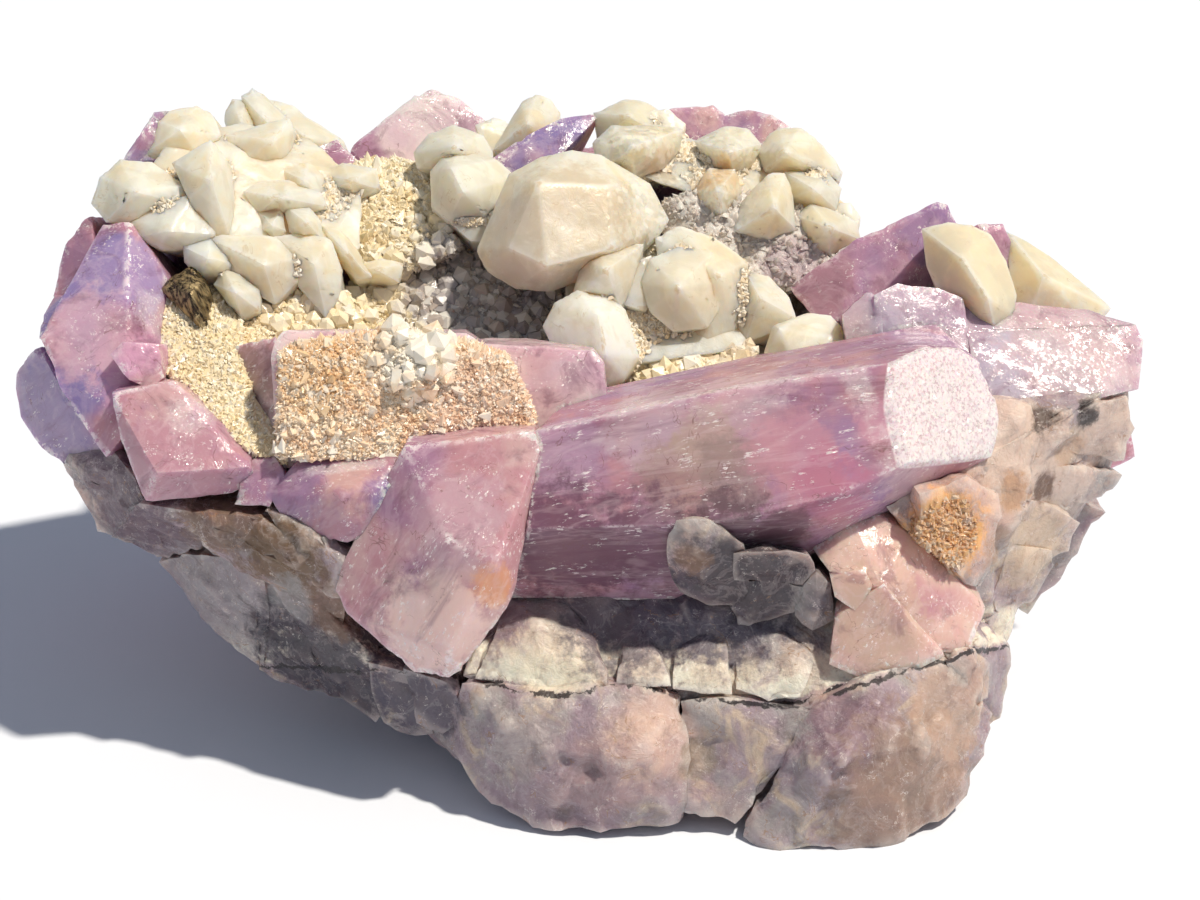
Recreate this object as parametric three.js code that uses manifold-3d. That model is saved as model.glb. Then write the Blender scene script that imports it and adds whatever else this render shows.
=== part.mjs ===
// Fluorite and calcite specimen, about 200 mm long: lilac fluorite cubes stand round a shallow
// pocket in massive fluorite and quartz, filled with cream calcite and golden quartz druse.
// Millimetres, +Z up. The front, with the long fluorite crystal, faces -Y. The specimen rests on
// the flat break under it, and the origin is the middle of its bounding box, at the bottom.
import * as THREE from "three";
import { ConvexGeometry } from "three/addons/geometries/ConvexGeometry.js";
import { mergeVertices } from "three/addons/utils/BufferGeometryUtils.js";
import Module from "manifold-3d";

// Corners are laid out as they are seen from the front. A corner [u, v, y] is seen u mm to the
// right of the middle and v mm above it, on a plane that faces the eye, and stands at depth y.
const EYE_DISTANCE = 700; // from the middle of the view
const EYE_ELEVATION = THREE.MathUtils.degToRad(25);
const EYE = new THREE.Vector3(
  0,
  -EYE_DISTANCE * Math.cos(EYE_ELEVATION),
  EYE_DISTANCE * Math.sin(EYE_ELEVATION),
);

const REST_PLANE = -43.5; // height of the flat break, below the middle of the view
const CRYSTAL_GAP = 0.3; // clearance between a crystal and what it grew on
const CORNER_DAMPING = 0.02; // keeps a seat's sharpest corners from running out
const FACET_TOLERANCE = 0.05; // facets flatter than this are joined
const CUT_REACH = 400; // larger than the specimen, for the block that cuts its underside

const wasm = await Module();
wasm.setup();

function seen([u, v, y]) {
  const onPlane = new THREE.Vector3(u, v * Math.sin(EYE_ELEVATION), v * Math.cos(EYE_ELEVATION));
  const along = (y - EYE.y) / (onPlane.y - EYE.y);
  return EYE.clone().lerp(onPlane, along);
}

// A crystal or a block of rock is the convex hull of its corners. The outline that is seen comes
// first, then points that stand proud in it. Every second corner is carried back by a vector in
// mm and drawn in by the taper, which makes the root that the crystal grew from.
function grown(face, proud, back, taper = 0.85) {
  const front = face.map(seen);
  const middle = front.reduce((sum, p) => sum.add(p), new THREE.Vector3());
  middle.divideScalar(front.length);
  const shift = new THREE.Vector3(...back);
  const rear = front
    .filter((p, i) => i % 2 === 0)
    .map((p) => p.clone().sub(middle).multiplyScalar(taper).add(middle).add(shift));
  return [...front, ...proud.map(seen), ...rear];
}

// A fluorite cube in mm about its centre [x, y, z], with edges [a, b, c], turned in degrees.
function cube([x, y, z], [a, b, c], [rx, ry, rz]) {
  const turn = new THREE.Euler(...[rx, ry, rz].map(THREE.MathUtils.degToRad));
  const corners = [];
  for (const i of [-0.5, 0.5])
    for (const j of [-0.5, 0.5])
      for (const k of [-0.5, 0.5])
        corners.push(new THREE.Vector3(i * a, j * b, k * c).applyEuler(turn));
  return corners.map((p) => p.add(new THREE.Vector3(x, y, z)));
}

// A blunt calcite crystal: a zigzag belt of six corners, a shoulder and a point at each end.
function bluntPoint([x, y, z], radius, length, [rx, ry, rz]) {
  const turn = new THREE.Euler(...[rx, ry, rz].map(THREE.MathUtils.degToRad));
  const corners = [new THREE.Vector3(0, 0, length / 2), new THREE.Vector3(0, 0, -length / 2)];
  for (let k = 0; k < 6; k++) {
    const angle = (k * Math.PI) / 3;
    const zigzag = (k % 2 ? 1 : -1) * length * 0.1;
    for (const [reach, height] of [[1, zigzag], [0.62, length * 0.32 + zigzag * 0.5]])
      corners.push(
        new THREE.Vector3(
          radius * reach * Math.cos(angle),
          radius * reach * Math.sin(angle),
          height,
        ),
      );
  }
  return corners.map((p) => p.applyEuler(turn).add(new THREE.Vector3(x, y, z)));
}

// The same hull with every face moved out by gap, which cuts the seat that a crystal grew in.
function widened(corners, gap) {
  const geometry = new ConvexGeometry(corners);
  const { position, normal } = geometry.attributes;
  const facesAt = new Map();
  for (let i = 0; i < position.count; i++) {
    const p = new THREE.Vector3().fromBufferAttribute(position, i);
    const n = new THREE.Vector3().fromBufferAttribute(normal, i);
    const key = p.toArray().map((c) => c.toFixed(3)).join();
    if (!facesAt.has(key)) facesAt.set(key, { p, normals: [] });
    const { normals } = facesAt.get(key);
    if (normals.every((m) => m.dot(n) < 0.999)) normals.push(n);
  }
  return [...facesAt.values()].map(({ p, normals }) => p.add(offsetOf(normals, gap)));
}

// The shortest step that moves a corner out by gap along each of its faces' normals.
function offsetOf(normals, gap) {
  const m = [CORNER_DAMPING, 0, 0, 0, CORNER_DAMPING, 0, 0, 0, CORNER_DAMPING];
  const sum = new THREE.Vector3();
  for (const n of normals) {
    const c = n.toArray();
    for (let k = 0; k < 9; k++) m[k] += c[Math.floor(k / 3)] * c[k % 3];
    sum.addScaledVector(n, gap);
  }
  return sum.applyMatrix3(new THREE.Matrix3().set(...m).invert());
}

function solidOf(geometry) {
  const bare = new THREE.BufferGeometry().setAttribute("position", geometry.attributes.position);
  const merged = mergeVertices(geometry.index ? bare.setIndex(geometry.index) : bare, 1e-4);
  return new wasm.Manifold(
    new wasm.Mesh({
      numProp: 3,
      vertProperties: new Float32Array(merged.attributes.position.array),
      triVerts: new Uint32Array(merged.index.array),
    }),
  );
}

const hull = (corners) => solidOf(new ConvexGeometry(corners));
const joined = (solids) => solids.reduce((whole, next) => whole.add(next));

function largestPiece(solid) {
  return solid.decompose().reduce((best, s) => (s.volume() > best.volume() ? s : best));
}

function meshOf(name, solid, material) {
  const { numProp, vertProperties, triVerts } = solid.getMesh();
  const position = new Float32Array((vertProperties.length / numProp) * 3);
  for (let i = 0; i < position.length / 3; i++)
    position.set(vertProperties.subarray(i * numProp, i * numProp + 3), i * 3);
  const geometry = new THREE.BufferGeometry()
    .setAttribute("position", new THREE.BufferAttribute(position, 3))
    .setIndex(new THREE.BufferAttribute(triVerts, 1));
  const mesh = new THREE.Mesh(geometry, material);
  mesh.name = name;
  return mesh;
}

const MATERIALS = {
  calcite: new THREE.MeshStandardMaterial({ color: 0xe9dfc6, roughness: 0.4, metalness: 0 }),
  fluorite: new THREE.MeshStandardMaterial({ color: 0xb78bb0, roughness: 0.3, metalness: 0 }),
  quartz: new THREE.MeshStandardMaterial({ color: 0xdcb988, roughness: 0.25, metalness: 0 }),
  sulphide: new THREE.MeshStandardMaterial({ color: 0x4d4130, roughness: 0.35, metalness: 0.6 }),
  rock: new THREE.MeshStandardMaterial({ color: 0xa08f8f, roughness: 0.6, metalness: 0 }),
};

// Calcite: frosted cream crystals, grown into each other in groups on a common root.
function calciteLeft() {
  return [
    grown([[-90.5, 44, 6], [-89, 48.5, 8], [-85.5, 51.5, 11], [-80, 51, 11], [-74, 47, 8],
      [-74, 44, 6], [-84, 41, 3], [-88, 40.7, 3]], [[-83, 46, 2]], [4, 12, -8]),
    grown([[-76, 51, 10], [-69.5, 55, 12], [-67, 52, 11], [-66, 44, 7], [-66.5, 38.5, 4],
      [-69.5, 38, 3], [-73, 45, 4]], [[-69.5, 48, 2]], [2, 12, -8]),
    grown([[-84, 41, 4], [-80, 43.5, 5], [-73, 45, 5], [-69, 38.5, 2], [-73, 36, 1],
      [-79, 36, 0], [-82, 38, 1]], [[-77, 39, -1.5]], [2, 12, -8]),
    grown([[-82, 52, 18], [-80, 59, 23], [-75, 60.5, 25], [-72, 61.2, 26], [-69.5, 60, 26],
      [-68, 56, 22], [-72, 53, 18]], [[-75, 57, 18]], [2, 12, -8]),
    grown([[-66, 50, 20], [-67, 56, 24], [-62, 56.5, 25], [-55.5, 59, 27], [-55, 57, 26],
      [-56.5, 51, 22], [-60, 50, 20]], [[-58.5, 55, 19.5]], [2, 12, -8]),
    grown([[-66.7, 59.5, 36], [-65.5, 62.3, 38], [-63.5, 62.3, 38], [-61, 58, 35],
      [-62, 54, 32], [-66.5, 56, 33]], [[-64, 58, 31]], [1, 9, -10]),
    grown([[-63.8, 63, 38], [-62, 64.3, 40], [-60, 63.5, 40], [-56, 59, 37], [-56, 54, 33],
      [-61, 55, 33]], [[-60, 59, 32]], [1, 9, -10]),
    grown([[-60, 62.5, 42], [-55, 61.3, 42], [-52.5, 59, 41], [-46, 55, 38], [-45, 53, 37],
      [-50, 52, 35], [-55, 53, 36]], [[-53, 56, 34]], [1, 8, -10]),
    grown([[-63.5, 46, 12], [-60, 48, 14], [-56, 48, 14], [-50, 45.5, 13], [-49, 43.5, 12],
      [-54, 42.5, 10], [-61, 42.3, 10]], [[-57, 45, 7]], [1, 10, -8]),
    grown([[-57, 50, 20], [-52, 51, 21], [-49.5, 49, 20], [-48.5, 44.5, 17], [-50, 43, 15],
      [-56, 45, 15]], [[-53, 48, 13]], [0, 10, -8]),
    grown([[-56, 43.3, 10], [-52, 43, 10], [-50, 41, 9], [-49.5, 37.5, 7], [-53, 37, 6],
      [-55.5, 39, 7]], [[-52.5, 40.5, 4]], [0, 9, -8]),
    grown([[-61, 42.5, 10], [-57, 43, 10], [-56, 39, 7], [-58, 37, 6], [-61, 39, 8]],
      [[-58.5, 40, 5]], [0, 8, -7]),
    grown([[-69.5, 37.5, 2], [-64, 38, 3], [-58, 37.5, 3], [-54, 34, 1], [-54, 30, -1],
      [-58, 26.5, -3], [-61, 28, -2], [-65, 32, -1]], [[-60, 33, -3.5]], [1, 11, -8]),
    grown([[-58, 38, 5], [-52, 38.7, 6], [-48.5, 37, 5], [-46, 32, 2], [-47, 27, -1],
      [-49, 24, -3], [-52, 27, -2], [-55, 31, 0]], [[-51, 33, -1.5]], [1, 11, -8]),
    grown([[-74, 36, 0], [-69.5, 37.5, 2], [-66, 33, -1], [-67, 31.3, -2], [-71, 31, -2],
      [-74, 33.5, -1]], [[-70, 34, -4]], [1, 9, -8]),
    grown([[-69, 29.5, -3], [-67, 31.8, -2], [-64.5, 31, -2], [-61, 28.5, -3], [-61, 25, -5],
      [-64, 23.5, -6], [-66, 26, -5]], [[-65, 28, -8]], [1, 9, -7]),
    grown([[-49.5, 40, 10], [-46.5, 39, 9], [-43, 35, 7], [-41, 31, 4], [-43.5, 30.5, 4],
      [-47, 34, 6]], [[-45, 35, 3]], [1, 9, -7]),
    grown([[-44, 33, 8], [-39, 34, 8], [-35.5, 33, 8], [-36, 30, 6], [-42, 30.5, 6]],
      [[-39.5, 32, 4]], [0, 8, -6]),
    grown([[-49.5, 49, 22], [-46, 51.3, 24], [-40, 50, 23], [-39.5, 46.5, 21],
      [-44, 44.8, 19], [-49, 46, 20]], [[-44.5, 48, 16]], [0, 9, -8]),
    grown([[-85, 43, 7], [-70, 35, 1], [-50, 31, 1], [-43, 36, 9], [-43, 48, 21],
      [-52, 55, 31], [-64, 58, 31], [-76, 56, 20]], [], [0, 12, -8]),
  ];
}

function calciteMiddle() {
  return [
    grown([[-33, 53, 24], [-30.5, 56, 26], [-26, 57.8, 28], [-21, 55.8, 27], [-19.3, 53, 26],
      [-19.5, 50, 24], [-27, 50, 22], [-32.5, 50.5, 23]], [[-26, 54, 18]], [0, 11, -9]),
    grown([[-30, 49.5, 18], [-28, 52, 20], [-25.5, 53, 21], [-18.5, 51.5, 20],
      [-15.3, 48.5, 19], [-17.5, 43.5, 15], [-20, 41, 13], [-27, 40.7, 12], [-30, 43.5, 14]],
    [[-26.5, 50, 12], [-24.5, 46, 9]], [0, 11, -9]),
    grown([[-27, 41, 12], [-17.5, 43, 14], [-16, 40, 14], [-18, 37.3, 12], [-23, 37.5, 11]],
      [], [0, 9, -6]),
  ];
}

function calciteRearProng() {
  return [
    grown([[-18.8, 53.5, 34], [-16, 58, 37], [-13.8, 62, 40], [-11.5, 63.2, 41],
      [-9, 62.3, 41], [-7.3, 60, 40], [-8.5, 56, 37], [-15, 52, 34]], [[-13, 58, 33]],
    [1, 8, -10]),
    grown([[-22, 57.8, 38], [-19, 59, 40], [-17, 58.5, 40], [-15, 55, 37], [-20, 53, 35]],
      [], [0, 8, -10]),
  ];
}

function calciteCentre() {
  return [
    grown([[-17, 46, 8], [-16, 49, 11], [-10.5, 52, 14], [-5, 53.2, 15], [0, 52.3, 15],
      [5, 49, 13], [8.7, 47.3, 13], [12, 41, 10], [10, 38, 8], [7, 35, 6], [-5, 30, 1],
      [-9, 28.5, 0], [-15, 29, 0], [-20, 32, 2], [-21.7, 35.5, 4], [-20, 40, 6]],
    [[-11, 47.5, 2], [-9.5, 33, -7], [1.5, 47, 5], [2, 36, -2], [-16, 36, -3]], [2, 16, -8]),
    grown([[-3, 34.5, 0], [0, 36, 1], [7.5, 36.5, 3], [5.5, 30, -2], [3.5, 25.5, -5],
      [-1, 27, -4], [-5, 26, -4]], [[1, 32, -7]], [1, 10, -7]),
    grown([[-10, 22, -8], [-8, 26, -6], [-4, 28.2, -5], [1, 27.5, -5], [4.3, 25, -6],
      [4.8, 21.5, -8], [6.7, 16.5, -11], [4, 12.5, -14], [1, 11, -15], [-3, 12.5, -15],
      [-8, 18, -11]], [[-0.5, 24, -13], [1, 17, -17]], [1, 11, -8]),
    grown([[9, 34, 2], [14, 36, 4], [20, 35, 4], [22, 30, 1], [21, 25, -2], [19, 22, -4],
      [13, 21.5, -5], [9, 25, -3], [7.5, 30, 0]], [[14, 29, -6]], [1, 8, -6]),
    grown([[10, 37.5, 7], [14, 39.8, 9], [20, 37.7, 8], [26, 33.5, 6], [26.5, 29, 4],
      [26, 24, 1], [24, 20.5, -1], [19, 19, -3], [12, 24, 0]], [[21, 31, -1]], [1, 10, -7]),
    grown([[4.5, 26, -2], [8, 25, -2], [10, 29, 0], [9, 34.5, 3], [6, 33, 2]], [], [0, 8, -6]),
    grown([[26, 31.7, 5], [30, 30.7, 5], [33.5, 27, 3], [34.7, 23.5, 1], [30, 21, -1],
      [26, 19.5, -2], [24, 22, 0]], [[28.5, 27, -2]], [1, 9, -7]),
    grown([[-6, 33, 8], [8, 38, 12], [24, 32, 10], [32, 25, 4], [24, 18, -4], [2, 15, -8],
      [-6, 22, -2]], [], [0, 12, -10]),
  ];
}

function calciteBehindBeam() {
  return [
    grown([[27.5, 11, -13], [31, 22, -7], [37, 24.2, -6], [41, 23.7, -6], [46.3, 18, -9],
      [46.3, 14, -12], [44, 8, -16], [30, 6, -17]],
    [[32, 21.5, -11], [36.5, 11, -19], [41, 20, -12]], [1, 12, -6]),
  ];
}

function calciteRearRight() {
  return [
    grown([[28, 53, 30], [30, 55.7, 32], [32, 57, 33], [35.7, 57.2, 33], [39.5, 54, 31],
      [43, 49.5, 28], [42.5, 48, 27], [36, 49, 26], [29.5, 49.7, 26]], [[33, 53, 22]],
    [0, 12, -10]),
    grown([[33, 49.5, 24], [40.5, 49.5, 26], [42.7, 46.5, 24], [42, 43, 21], [38, 42.5, 20],
      [34, 45, 21]], [[38, 46.5, 16]], [0, 10, -8]),
    grown([[25.5, 44, 16], [30, 49, 19], [32.7, 49, 20], [34, 46, 18], [34.6, 39.5, 14],
      [30, 38, 12], [24, 39, 12]], [[31, 43, 8]], [0, 10, -8]),
    grown([[17, 55, 28], [22, 57.5, 30], [26.5, 57, 30], [28.5, 54.5, 28], [27, 51, 26],
      [24, 48.5, 24], [20, 50, 25]], [[23, 53, 20]], [0, 10, -10]),
    grown([[16.5, 46, 18], [19.5, 50.3, 21], [24, 50, 21], [25, 45.5, 18], [21.5, 41.5, 14],
      [18, 43.5, 15]], [[21, 46, 11]], [0, 9, -8]),
    grown([[35, 41.7, 17], [37.5, 43.7, 18], [42, 42.3, 18], [45.5, 40.5, 18],
      [46.3, 37.5, 16], [44, 36, 15], [41, 34.3, 13], [37.5, 36, 14]], [[41, 39.5, 10]],
    [0, 10, -7]),
    grown([[42, 43.7, 22], [44.5, 43.8, 22], [46, 41.5, 21], [45.5, 38, 18], [41, 40, 19]],
      [], [0, 8, -7]),
    grown([[-1, 54.5, 22], [2, 57.7, 25], [10, 57.7, 27], [14.5, 57, 27], [14, 54, 25],
      [11, 50.5, 21], [6, 48.7, 18], [0, 50, 18]], [[6, 54, 14]], [0, 11, -9]),
    grown([[-1, 60, 34], [1.5, 61.3, 36], [4.5, 62.3, 37], [8, 61.7, 37], [11, 60, 36],
      [11, 56, 32], [0, 56, 32]], [[5, 59.5, 29]], [0, 9, -10]),
    grown([[8, 60, 34], [12, 60.5, 35], [15, 58, 34], [14, 55, 31], [9, 56, 31]], [],
      [0, 8, -9]),
    grown([[0, 52, 24], [10, 56, 32], [26, 54, 32], [38, 50, 30], [44, 42, 22], [36, 40, 19],
      [22, 44, 19], [10, 48, 19]], [], [0, 14, -6]),
  ];
}

function calciteRight() {
  return [
    grown([[57.5, 39.3, 2], [62, 40.3, 3], [66, 39.8, 3], [69.5, 38.3, 3], [72, 33.5, 0],
      [74, 27.5, -4], [73.5, 24, -7], [70.5, 20.5, -10], [67, 22.5, -9], [64, 27.5, -6],
      [60, 29.3, -4], [58.5, 33, -1]], [[64.5, 34, -7], [69, 27, -12]], [1, 12, -8]),
  ];
}

function calciteRightRear() {
  return [
    grown([[72.5, 38.7, 10], [76, 36.8, 10], [80.5, 34, 9], [85, 30, 7], [90.7, 25.2, 4],
      [88, 22, 1], [76, 22, 0], [73.5, 29, 4]], [[79, 31, 1]], [0, 12, -8]),
  ];
}

function calciteBack() {
  return [
    bluntPoint([-20, 54, 22], 9, 22, [-60, 10, 20]),
    bluntPoint([-9, 57, 15], 7, 18, [-80, 20, 0]),
    bluntPoint([-27, 57, 12], 7, 19, [-75, -15, 40]),
    bluntPoint([-16, 58, 6], 6, 15, [-95, 0, 10]),
  ];
}

// Fluorite: lilac cubes and blocks, each group grown together.
function fluoriteLeft() {
  return [
    grown([[-88.5, 40, 2], [-84, 40.5, 1], [-77.5, 30.5, -3], [-78.5, 27, -5], [-79, 18, -14],
      [-84, 4, -24], [-88, -1, -24], [-95, 9, -20], [-99.7, 20, -15], [-96, 26, -10]],
    [[-84.5, 27, -12]], [8, 24, -14]),
    grown([[-91, 41.5, 6], [-95.3, 36.5, 5], [-95.3, 31.5, 4], [-97.3, 27.5, 1],
      [-94, 26, -2], [-90, 34, 0]], [], [6, 20, -8]),
    grown([[-97, 27.5, 1], [-99, 24, -4], [-99.8, 20, -9], [-96, 19, -12], [-94, 27, -6]],
      [], [8, 20, -8]),
    grown([[-100, 18, -10], [-102.6, 15.2, -7], [-103.8, 13.5, -6], [-104, 11, -6],
      [-103, 6, -8], [-100, 1, -11], [-95, -2.5, -14], [-87, -1, -20], [-95, 9, -16]], [],
    [10, 22, -6]),
    grown([[-87, 10, -26], [-76, 12, -24], [-69, 5, -26], [-62, -0.5, -30], [-61, -5, -32],
      [-63, -7, -33], [-81, -9, -34], [-85, 1, -30]], [[-79, -4, -37], [-63, -3, -34.5]],
    [0, 22, -4]),
    grown([[-87, 17, -20], [-85, 19, -19], [-79, 18.5, -18], [-78, 13, -21],
      [-80, 10.5, -23], [-84, 12.5, -23]], [], [2, 8, -3]),
  ];
}

function fluoriteLeftRear() {
  return [
    grown([[-85, 51.5, 16], [-82, 56, 18], [-79.5, 60, 22], [-75, 60.5, 26], [-74, 52, 20]],
      [], [4, 14, -20]),
    cube([-72, 35, 22], [24, 26, 26], [12, 8, 24]),
  ];
}

function fluoriteFrontBlock() {
  return [
    grown([[-35, 0.5, -38], [-12, 3, -37], [-11, 0, -39], [-14, -14, -46], [-15.5, -25, -50],
      [-17, -28, -51], [-25, -39, -53], [-27, -40.3, -53], [-33, -39, -50], [-45, -29, -46],
      [-47, -25, -44], [-46, -21, -43], [-40, -13, -42], [-36, -6, -40]],
    [[-18.5, -20, -53], [-27, -16, -50], [-27, -36, -54.5]], [2, 16, 2]),
  ];
}

function fluoriteFrontLeft() {
  return [
    grown([[-54, -2.3, -33], [-36, -1.5, -36], [-35.5, -6, -40], [-42, -15, -42],
      [-45, -16.5, -42], [-50, -16, -40], [-57, -11, -37], [-59, -8, -35]], [[-46, -8, -42]],
    [2, 14, 2]),
    grown([[-62, -2, -32], [-58, -1.5, -32], [-56, -5, -34], [-59, -10, -36], [-65, -9.5, -35],
      [-64, -6, -34]], [], [0, 10, 0]),
  ];
}

function fluoriteBeam() {
  return [
    grown([[-11.5, 3.2, -36], [20, 10, -38], [53, 15.5, -38], [58, 17.8, -33],
      [64, 17.8, -28], [67.5, 15.5, -26], [70, 9, -28], [70.8, 4, -31], [69.5, -1, -34],
      [50, -9, -45], [36, -19, -42.5], [13, -26.5, -40.5], [-16, -26, -39.5]],
    [[52, 9, -42], [55, -2, -46], [-13, -14, -46.5], [20, -13, -50.5], [42, -8, -50]],
    [0, 17, 0]),
  ];
}

function fluoritePocketBlock() {
  return [
    grown([[-58.5, 17.5, -25], [-56.5, 21, -22], [-24, 20.5, -21], [-17, 16, -24],
      [-12, 5, -29], [-12, 0, -31], [-35, -3, -32], [-57, -3, -31]], [], [1, 13, -3]),
    grown([[-66, 18, -12], [-58, 20, -18], [-56.5, 12, -24], [-57, 3, -28], [-60, 7, -23],
      [-63, 12, -17]], [], [4, 8, -4]),
    grown([[-25, 18.8, -22], [-10, 18.2, -21], [-1.5, 17.5, -21], [0.5, 15.5, -22],
      [1.3, 7, -26], [0, 2, -28], [-14, 0, -29]], [], [1, 12, -3]),
  ];
}

function fluoriteRight() {
  return [
    grown([[64, 26, -8], [75, 26, -4], [87, 24.5, -2], [95.2, 22, -4], [96.6, 19.5, -6],
      [95.7, 11, -12], [89, 9.5, -18], [77, 7, -22], [68, 5, -24], [66, 18, -16]], [],
    [-2, 24, -12]),
    grown([[49, 27.5, -12], [53, 29.5, -10], [60, 28.7, -9], [64.5, 27, -9], [65.5, 21, -13],
      [66, 14, -18], [60, 10, -22], [49, 12, -20]], [], [0, 20, -10]),
    grown([[43.5, 24, -12], [47.5, 28, -10], [50, 27, -12], [50.5, 15, -20], [45, 12, -20]],
      [], [0, 18, -8]),
  ];
}

function fluoriteRearRight() {
  return [
    grown([[34, 29, 8], [46, 37.5, 10], [60, 43.8, 14], [61.7, 43.5, 15], [64, 39, 16],
      [62, 30, 10], [52, 26, 4], [43, 23, 2], [38, 24, 4]], [], [4, 20, -14]),
    grown([[67.5, 40, 8], [71.7, 40.2, 9], [73.5, 36, 8], [72, 31, 6], [60, 30, 8],
      [60, 36, 12]], [], [2, 12, -8]),
  ];
}

function fluoriteRearPeak() {
  return [
    grown([[-45, 51.5, 36], [-43.8, 54.3, 37], [-38, 58, 40], [-33, 63, 44], [-30, 64, 46],
      [-26, 63, 46], [-20, 57.8, 42], [-24, 50, 36], [-38, 48, 34]], [], [4, 14, -20]),
    grown([[-54, 50, 32], [-51, 53.7, 34], [-47, 55, 36], [-44, 52, 36], [-40, 48, 34]], [],
      [0, 12, -14]),
  ];
}

function fluoriteRearCentre() {
  return [
    grown([[-19, 52, 26], [-16, 48, 24], [-8, 52, 26], [0, 60, 34], [-7, 58.8, 32],
      [-15, 54.5, 28]], [], [0, 14, -14]),
    grown([[9, 60.5, 38], [20, 61.2, 40], [22.5, 59.5, 40], [24, 54, 36], [6, 54, 34]], [],
      [0, 14, -22]),
    grown([[22, 59.5, 40], [26.5, 60.5, 40], [30.5, 59.5, 38], [34, 57, 36], [40, 51, 32],
      [30, 48, 30], [22, 52, 32]], [], [2, 16, -22]),
    cube([2, 44, 24], [26, 20, 26], [8, -6, 12]),
  ];
}

function fluoritePocketFloor() {
  return [grown([[-20, 33, 20], [-4, 30, 20], [-7, 17, 10], [-17, 20, 12]], [], [0, 10, -8])];
}

function fluoriteLowerRight() {
  return [
    grown([[38, -17.5, -44], [44.5, -11.5, -42], [49, -11.5, -41], [56, -16, -42],
      [68.5, -28.5, -42], [65.5, -35.5, -47], [61, -36, -49], [50, -24.5, -50],
      [41, -21.5, -48]], [], [0, 14, 2]),
    grown([[42, -30, -51], [50.5, -24, -50], [55.5, -31, -51], [61, -36.5, -50],
      [57, -38.5, -52], [46, -40, -53], [41, -38, -53]], [], [0, 12, 2]),
    grown([[41, -22, -48], [47, -21.5, -49], [48.5, -24.5, -50], [45.5, -28.5, -51],
      [42, -26, -50]], [], [0, 8, 0]),
  ];
}

function fluoriteBackLeft() {
  return [
    cube([-58, 44, 8], [30, 28, 28], [20, 10, -18]),
    cube([-82, 26, 6], [26, 28, 26], [-12, 24, 30]),
    cube([-40, 50, -8], [24, 20, 22], [30, -12, 12]),
  ];
}

function fluoriteBackRight() {
  return [
    cube([34, 46, 2], [32, 26, 28], [14, 22, 16]),
    cube([56, 34, 8], [26, 26, 26], [-10, 8, 34]),
    cube([78, 16, 4], [24, 28, 24], [10, -14, 20]),
  ];
}

// Sulphide: one small striated dark crystal on the left of the pocket.
function sulphideCrystal() {
  return [
    grown([[-78, 28.7, -5], [-76, 31, -3], [-72.5, 32.3, -2], [-70.5, 30, -4],
      [-69.8, 27, -6], [-70.3, 21.7, -10], [-72, 22.7, -10], [-75, 26, -8]],
    [[-73, 28, -9]], [1, 6, -5]),
  ];
}

// Quartz: one druse crust over the pocket, and a plate of it on the front of the pocket block.
function quartzPocketCrust() {
  return [
    grown([[-80, 26, -6], [-72, 30, 0], [-65, 27, 0], [-64, 17, -14], [-74, 9, -22],
      [-79, 17, -14]], [], [0, 14, -14]),
    grown([[-74, 10, -21], [-64, 17, -14], [-61, 8, -22], [-58, 2, -28], [-56, -2.5, -32],
      [-62, 0, -31], [-70, 5, -27]], [], [4, 14, -10]),
    grown([[-66, 27, 0], [-60, 24, -2], [-46, 27, 2], [-38, 22.5, 0], [-40, 18, -6],
      [-64, 16, -10]], [], [0, 14, -12]),
    grown([[-48, 50, 26], [-40, 52, 30], [-32, 51, 28], [-29, 44, 20], [-26, 36, 12],
      [-34, 32, 10], [-41, 33, 12], [-47, 38, 16]], [], [0, 14, -12]),
    grown([[-48, 28, 8], [-30, 34, 18], [-18, 36, 24], [0, 34, 22], [10, 24, 12],
      [4, 10, -4], [-20, 14, 2], [-44, 20, 4]], [], [0, 12, -10]),
    grown([[5, 19, 2], [10, 14, -6], [26, 18, -2], [29, 14, -8], [27, 8, -16], [8, 7, -16]],
      [], [0, 14, -10]),
    grown([[9, 50, 22], [14, 56, 28], [18, 55, 28], [20, 49, 22], [14, 42, 16], [8, 40, 16]],
      [], [0, 12, -12]),
  ];
}

function quartzBlockFace() {
  return [
    grown([[-57, 16.5, -28], [-48, 19, -26], [-36, 20, -25], [-24, 18.5, -25],
      [-17, 15.5, -27], [-15, 12.5, -28.5], [-12, 4, -32], [-35, -1.5, -35],
      [-57, -1, -34]], [], [0, 4, 0], 1),
    grown([[-40, 18.5, -26.5], [-37, 22.2, -25], [-34, 20, -26], [-33.5, 17, -28],
      [-37.5, 16, -28.5]], [], [0, 5, -2]),
    grown([[-35, 17, -29], [-31, 16, -30], [-29.5, 12.5, -31.5], [-33, 11, -32],
      [-37, 12.5, -31]], [], [0, 5, 0]),
  ];
}

// Rock: massive fluorite and quartz under and behind the crystals, with a flat break below.
function rockCore() {
  const ring = (z, points) => points.map(([x, y]) => new THREE.Vector3(x, y, z));
  return [
    ...ring(-46, [[-14, -46], [40, -54], [56, -44], [60, 0], [40, 30], [0, 34], [-25, 20],
      [-30, -14]]),
    ...ring(-15, [[-64, -22], [-70, 0], [-50, 36], [0, 50], [50, 44], [78, 10], [76, -20]]),
    ...ring(8, [[-90, -8], [-88, 16], [-60, 42], [0, 52], [60, 42], [86, 14], [86, -12],
      [60, -32], [0, -34], [-60, -26]]),
    ...ring(24, [[-74, 30], [-40, 44], [0, 48], [30, 42], [48, 30]]),
  ];
}

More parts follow.
